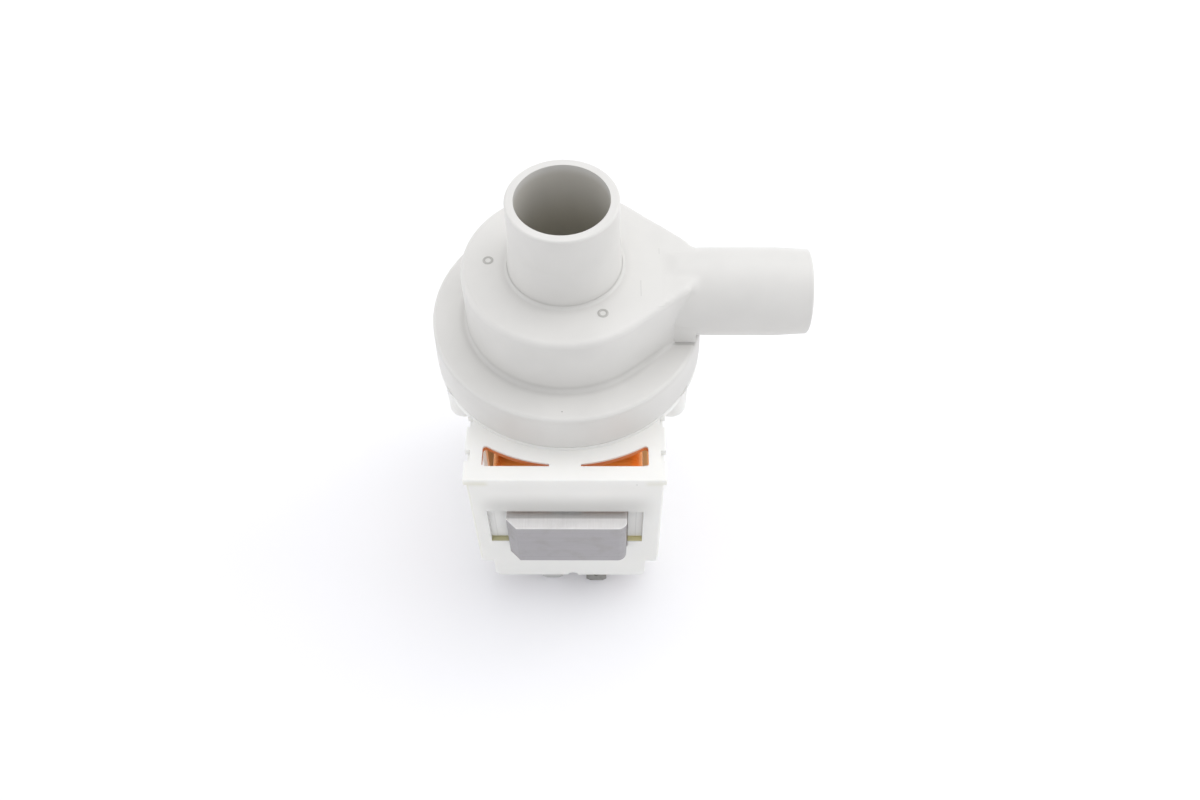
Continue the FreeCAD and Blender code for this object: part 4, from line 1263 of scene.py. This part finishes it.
@dataclass
class Coves(Part):
    """The soft inner corners at the drum's foot and at the inlet's foot."""

    drum_radius: float = 27.85 * MM
    flange_top: float = 80.5 * MM
    drum_cove: float = 1.2 * MM
    flat_angle: float = 50.0
    flat_reach: float = 29.6 * MM
    inlet_radius: float = 15.42 * MM
    casing_top: float = 99.6 * MM
    inlet_cove: float = 0.9 * MM
    sunk: float = 0.06 * MM
    steps: int = 6
    flat_steps: int = 8
    arc_steps: int = 120
    circle_steps: int = 144

    def build(self) -> None:
        """Builds both corners."""
        mesh = bmesh.new()
        self._sweep(mesh, self._drum_path(), self.drum_cove, self.flange_top, False)
        self.add("drum_foot_cove", mesh, VOLUTE, "volute_plastic", smooth=60.0)
        mesh = bmesh.new()
        circle = []
        for turn in turns_of(self.circle_steps):
            out = Vector((math.cos(turn), math.sin(turn), 0.0))
            circle.append((out * self.inlet_radius, out))
        self._sweep(mesh, circle, self.inlet_cove, self.casing_top, True)
        self.add("inlet_foot_cove", mesh, VOLUTE, "volute_plastic", smooth=60.0)

    def _drum_path(self) -> list[tuple[Vector, Vector]]:
        """The way along the drum's wall, from flat to flat round the side away from the outlet.

        Returns:
            Points at the wall's foot, each with the wall's outward direction.
        """
        first = math.radians(self.flat_angle)
        out = Vector((math.cos(first), math.sin(first), 0.0))
        along = Vector((out.y, -out.x, 0.0))
        corner = out * self.drum_radius
        length = (self.flat_reach - corner.x) / along.x
        steps = range(self.flat_steps)
        flat = [(corner + along * length * (1.0 - step / self.flat_steps), out) for step in steps]
        arc = []
        for step in range(self.arc_steps + 1):
            turn = first + (math.tau - 2 * first) * step / self.arc_steps
            outward = Vector((math.cos(turn), math.sin(turn), 0.0))
            arc.append((outward * self.drum_radius, outward))
        mirrored = [(Vector((p.x, -p.y, 0.0)), Vector((n.x, -n.y, 0.0))) for p, n in flat]
        return flat + arc + mirrored[::-1]

    def _sweep(
        self,
        mesh: bmesh.types.BMesh,
        path: Sequence[tuple[Vector, Vector]],
        radius: float,
        base: float,
        around: bool,
    ) -> None:
        """Sweeps a concave corner along a path on a level face.

        Args:
            mesh: The mesh that the corner goes into.
            path: Points at the wall's foot, each with the wall's outward direction.
            radius: The corner's radius.
            base: The level face's height.
            around: Whether the path is closed.
        """
        profile = [(-self.sunk, radius), (-4 * self.sunk, -4 * self.sunk), (radius, -self.sunk)]
        for step in range(self.steps, -1, -1):
            bend = math.pi / 2 * step / self.steps
            profile.append((radius * (1.0 - math.cos(bend)), radius * (1.0 - math.sin(bend))))
        rows = []
        for off, rise in profile:
            row = []
            for point, out in path:
                place = point + out * off
                row.append(mesh.verts.new((place.x, place.y, base + rise)))
            rows.append(row)
        join_rings(mesh, rows, around=around)
        if not around:
            mesh.faces.new([row[0] for row in rows])
            mesh.faces.new([row[-1] for row in reversed(rows)])


@dataclass
class SkirtSkin(Part):
    """The casing's skirt as photographed, wider at its lower edge, over the straight solid."""

    upper: tuple[float, float] = (37.53 * MM, 79.0 * MM)
    lower: tuple[float, float] = (37.92 * MM, 68.5 * MM)
    foot: float = 68.04 * MM
    edge: float = 0.25 * MM
    hidden_radius: float = 37.2 * MM
    steps: int = 240

    def build(self) -> None:
        """Builds the skin as a closed ring."""
        mesh = bmesh.new()
        profile = [
            (self.hidden_radius, self.upper[1]),
            self.upper,
            self.lower,
            (self.lower[0], self.foot + self.edge),
            (self.lower[0] - self.edge * 0.3, self.foot + self.edge * 0.3),
            (self.lower[0] - self.edge, self.foot),
            (self.hidden_radius, self.foot),
        ]
        rows = []
        turns = turns_of(self.steps)
        for radius, height in profile:
            points = [(radius * math.cos(turn), radius * math.sin(turn), height) for turn in turns]
            rows.append([mesh.verts.new(point) for point in points])
        join_rings(mesh, rows)
        self.add("skirt_skin", mesh, VOLUTE, "volute_plastic", smooth=50.0)


@dataclass
class RecessPanels(Part):
    """The two thin panels set back in the recess, one on each side of the core."""

    front: float = -45.2 * MM
    thick: float = 1.2 * MM
    low: float = 30.7 * MM
    high: float = 49.2 * MM
    spans: tuple[tuple[float, float], ...] = ((-22.6 * MM, -17.3 * MM), (17.3 * MM, 21.7 * MM))

    def build(self) -> None:
        """Builds both panels."""
        for side, (start, end) in zip(("left", "right"), self.spans):
            mesh = bmesh.new()
            corners = bmesh.ops.create_cube(mesh, size=1.0)["verts"]
            size = Vector((end - start, self.thick, self.high - self.low))
            middle = Vector(((start + end) / 2, self.front + self.thick / 2, (self.high + self.low) / 2))
            for vert in corners:
                vert.co = middle + Vector([a * b for a, b in zip(vert.co, size)])
            self.add(side + "_recess_panel", mesh, FRAME, "frame_plastic")


@dataclass
class CasingMarks(Part):
    """The two round gate marks that the mould leaves on the casing."""

    gates: tuple[tuple[float, float], ...] = ((-20.5 * MM, 1.2 * MM), (10.2 * MM, -16.9 * MM))
    casing_top: float = 99.6 * MM
    ring_radius: float = 1.5 * MM
    ring_rise: float = 0.2 * MM
    ring_width: float = 0.8 * MM
    sunk: float = 0.05 * MM
    steps: int = 32

    def build(self) -> None:
        """Builds each mark on the drum's top."""
        for number, (x, y) in enumerate(self.gates):
            mesh = bmesh.new()
            self._ring(mesh, Vector((x, y, self.casing_top)))
            self.add("casing_gate_%d" % (number + 1), mesh, GATE_MARK, "volute_plastic", smooth=60.0)

    def _ring(self, mesh: bmesh.types.BMesh, centre: Vector) -> None:
        """Adds a low rounded ring with its foot just under the surface.

        Args:
            mesh: The mesh that the ring goes into.
            centre: Its middle, on the surface.
        """
        profile = [
            (self.ring_radius - self.ring_width, -self.sunk),
            (self.ring_radius - self.ring_width * 0.75, self.ring_rise * 0.8),
            (self.ring_radius - self.ring_width * 0.5, self.ring_rise),
            (self.ring_radius - self.ring_width * 0.25, self.ring_rise * 0.8),
            (self.ring_radius, -self.sunk),
        ]
        rings = []
        for turn in turns_of(self.steps):
            points = [(radius * math.cos(turn), radius * math.sin(turn), rise) for radius, rise in profile]
            rings.append([mesh.verts.new(centre + Vector(point)) for point in points])
        join_rings(mesh, rings)


@dataclass
class Studio:
    """The pale floor, the soft lights and the camera."""

    floor_radius: float = 6.0
    floor_shown: Colour = (0.92, 0.92, 0.92)
    floor_bounce: Colour = (0.87, 0.87, 0.87)
    near: float = 0.5
    near_glow: Colour = (0.03, 0.03, 0.05)
    far_glow: Colour = (0.32, 0.32, 0.32)
    key_power: float = 4.5
    left_power: float = 2.1
    right_power: float = 3.1
    fill: float = 0.8
    fill_across: float = 0.01
    fill_behind: float = -0.05
    fill_blue: float = 1.02
    sensor: float = 36.0
    lens: float = 32.237
    camera_place: Spot = (0.010931, -0.191950, 0.313745)
    camera_right: Spot = (0.99998489, 0.00387044, -0.0039042)
    camera_up: Spot = (-0.00096477, 0.82269843, 0.56847723)
    camera_back: Spot = (0.00541223, -0.56846487, 0.82268973)

    def build(self) -> None:
        """Builds the studio."""
        self._camera()
        self._world()
        self._floor()
        self._lamp("overhead", (0.3, 0.42, 1.1), (0.0, 0.0, 0.05), 1.1, self.key_power)
        self._lamp("left_side", (-1.05, 0.2, 0.5), (0.0, 0.0, 0.06), 0.9, self.left_power)
        self._lamp("right_side", (1.06, 0.24, 0.52), (0.0, 0.0, 0.06), 0.9, self.right_power)

    def _camera(self) -> None:
        """Places the camera as the photograph's fitted view gives it."""
        data = bpy.data.cameras.new("photo_view")
        data.sensor_width = self.sensor
        data.lens = self.lens
        data.clip_start = 0.01
        data.clip_end = 50.0
        camera = linked("photo_view", data)
        axes = (Vector(self.camera_right), Vector(self.camera_up), Vector(self.camera_back))
        turn = Matrix(axes).transposed()
        camera.matrix_world = Matrix.Translation(self.camera_place) @ turn.to_4x4()
        bpy.context.scene.camera = camera

    def _world(self) -> None:
        """Lights evenly from all round, and shows as white."""
        world = bpy.data.worlds.new("studio")
        bpy.context.scene.world = world
        tree = Tree(world)
        seen = self._seen(tree)
        toward = tree.node("ShaderNodeTexCoord", output="Generated")
        across = tree.node("ShaderNodeSeparateXYZ", None, {0: toward}, "X")
        behind = tree.node("ShaderNodeSeparateXYZ", None, {0: toward}, "Y")
        level = across * self.fill_across + behind * self.fill_behind + self.fill
        even = tree.node("ShaderNodeCombineXYZ", None, {0: level, 1: level, 2: level * self.fill_blue})
        colour = tree.mix(seen, even, (1.0, 1.0, 1.0))
        shader = tree.node("ShaderNodeBackground", None, {"Color": colour, "Strength": 1.0})
        tree.node("ShaderNodeOutputWorld", None, {"Surface": shader})

    @staticmethod
    def _seen(tree: Tree) -> Wire:
        """1 for rays from the camera, from gloss or through glass.

        Args:
            tree: The tree that asks.

        Returns:
            1 or 0.
        """
        camera = tree.node("ShaderNodeLightPath", output="Is Camera Ray")
        glossy = tree.node("ShaderNodeLightPath", output="Is Glossy Ray")
        through = tree.node("ShaderNodeLightPath", output="Is Transmission Ray")
        return tree.clamp(camera + glossy + through)

    def _floor(self) -> None:
        """Lays a round pale floor that keeps the pump's shadow and shows white further off."""
        mesh = bmesh.new()
        bmesh.ops.create_circle(mesh, cap_ends=True, segments=96, radius=self.floor_radius)
        data = bpy.data.meshes.new("floor")
        mesh.to_mesh(data)
        mesh.free()
        floor = linked("floor", data)
        material = bpy.data.materials.new("pale_floor")
        tree = Tree(material)
        seen = self._seen(tree)
        distance = tree.node("ShaderNodeVectorMath", {"operation": "LENGTH"}, {0: tree.place()}, "Value")
        far = tree.clamp((distance - self.near) / self.near)
        tree.surface(
            {
                "Base Color": tree.mix(seen, self.floor_bounce, self.floor_shown),
                "Roughness": 0.9,
                "Specular IOR Level": 0.0,
                "Emission Color": tree.mix(seen, BLACK, tree.mix(far, self.near_glow, self.far_glow)),
                "Emission Strength": 1.0,
            }
        )
        data.materials.append(material)

    @staticmethod
    def _lamp(name: str, place: Spot, aim: Spot, size: float, power: float) -> None:
        """Places one square soft light.

        Args:
            name: The light's name.
            place: Where it stands.
            aim: The point that it faces.
            size: The length of its side.
            power: Its power in watts.
        """
        data = bpy.data.lights.new(name, "AREA")
        data.shape = "SQUARE"
        data.size = size
        data.energy = power
        lamp = linked(name, data)
        lamp.location = place
        lamp.rotation_mode = "QUATERNION"
        lamp.rotation_quaternion = (Vector(aim) - Vector(place)).to_track_quat("-Z", "Y")


def main() -> None:
    """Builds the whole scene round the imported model."""
    logging.basicConfig(level=logging.INFO)
    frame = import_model()
    bpy.context.scene.view_settings.view_transform = "Standard"
    Studio().build()
    wardrobe = Wardrobe(frame["nodes"])
    for name, finish in NODE_FINISHES.items():
        wardrobe.dress_node(name, finish)
    LOG.info("%d nodes dressed", len(NODE_FINISHES))
    Coil(wardrobe, side="left").build()
    Coil(wardrobe, side="right").build()
    for piece in (Core, OutletSkin, Coves, SkirtSkin, RecessPanels, CasingMarks):
        piece(wardrobe).build()


if __name__ == "__main__":
    main()
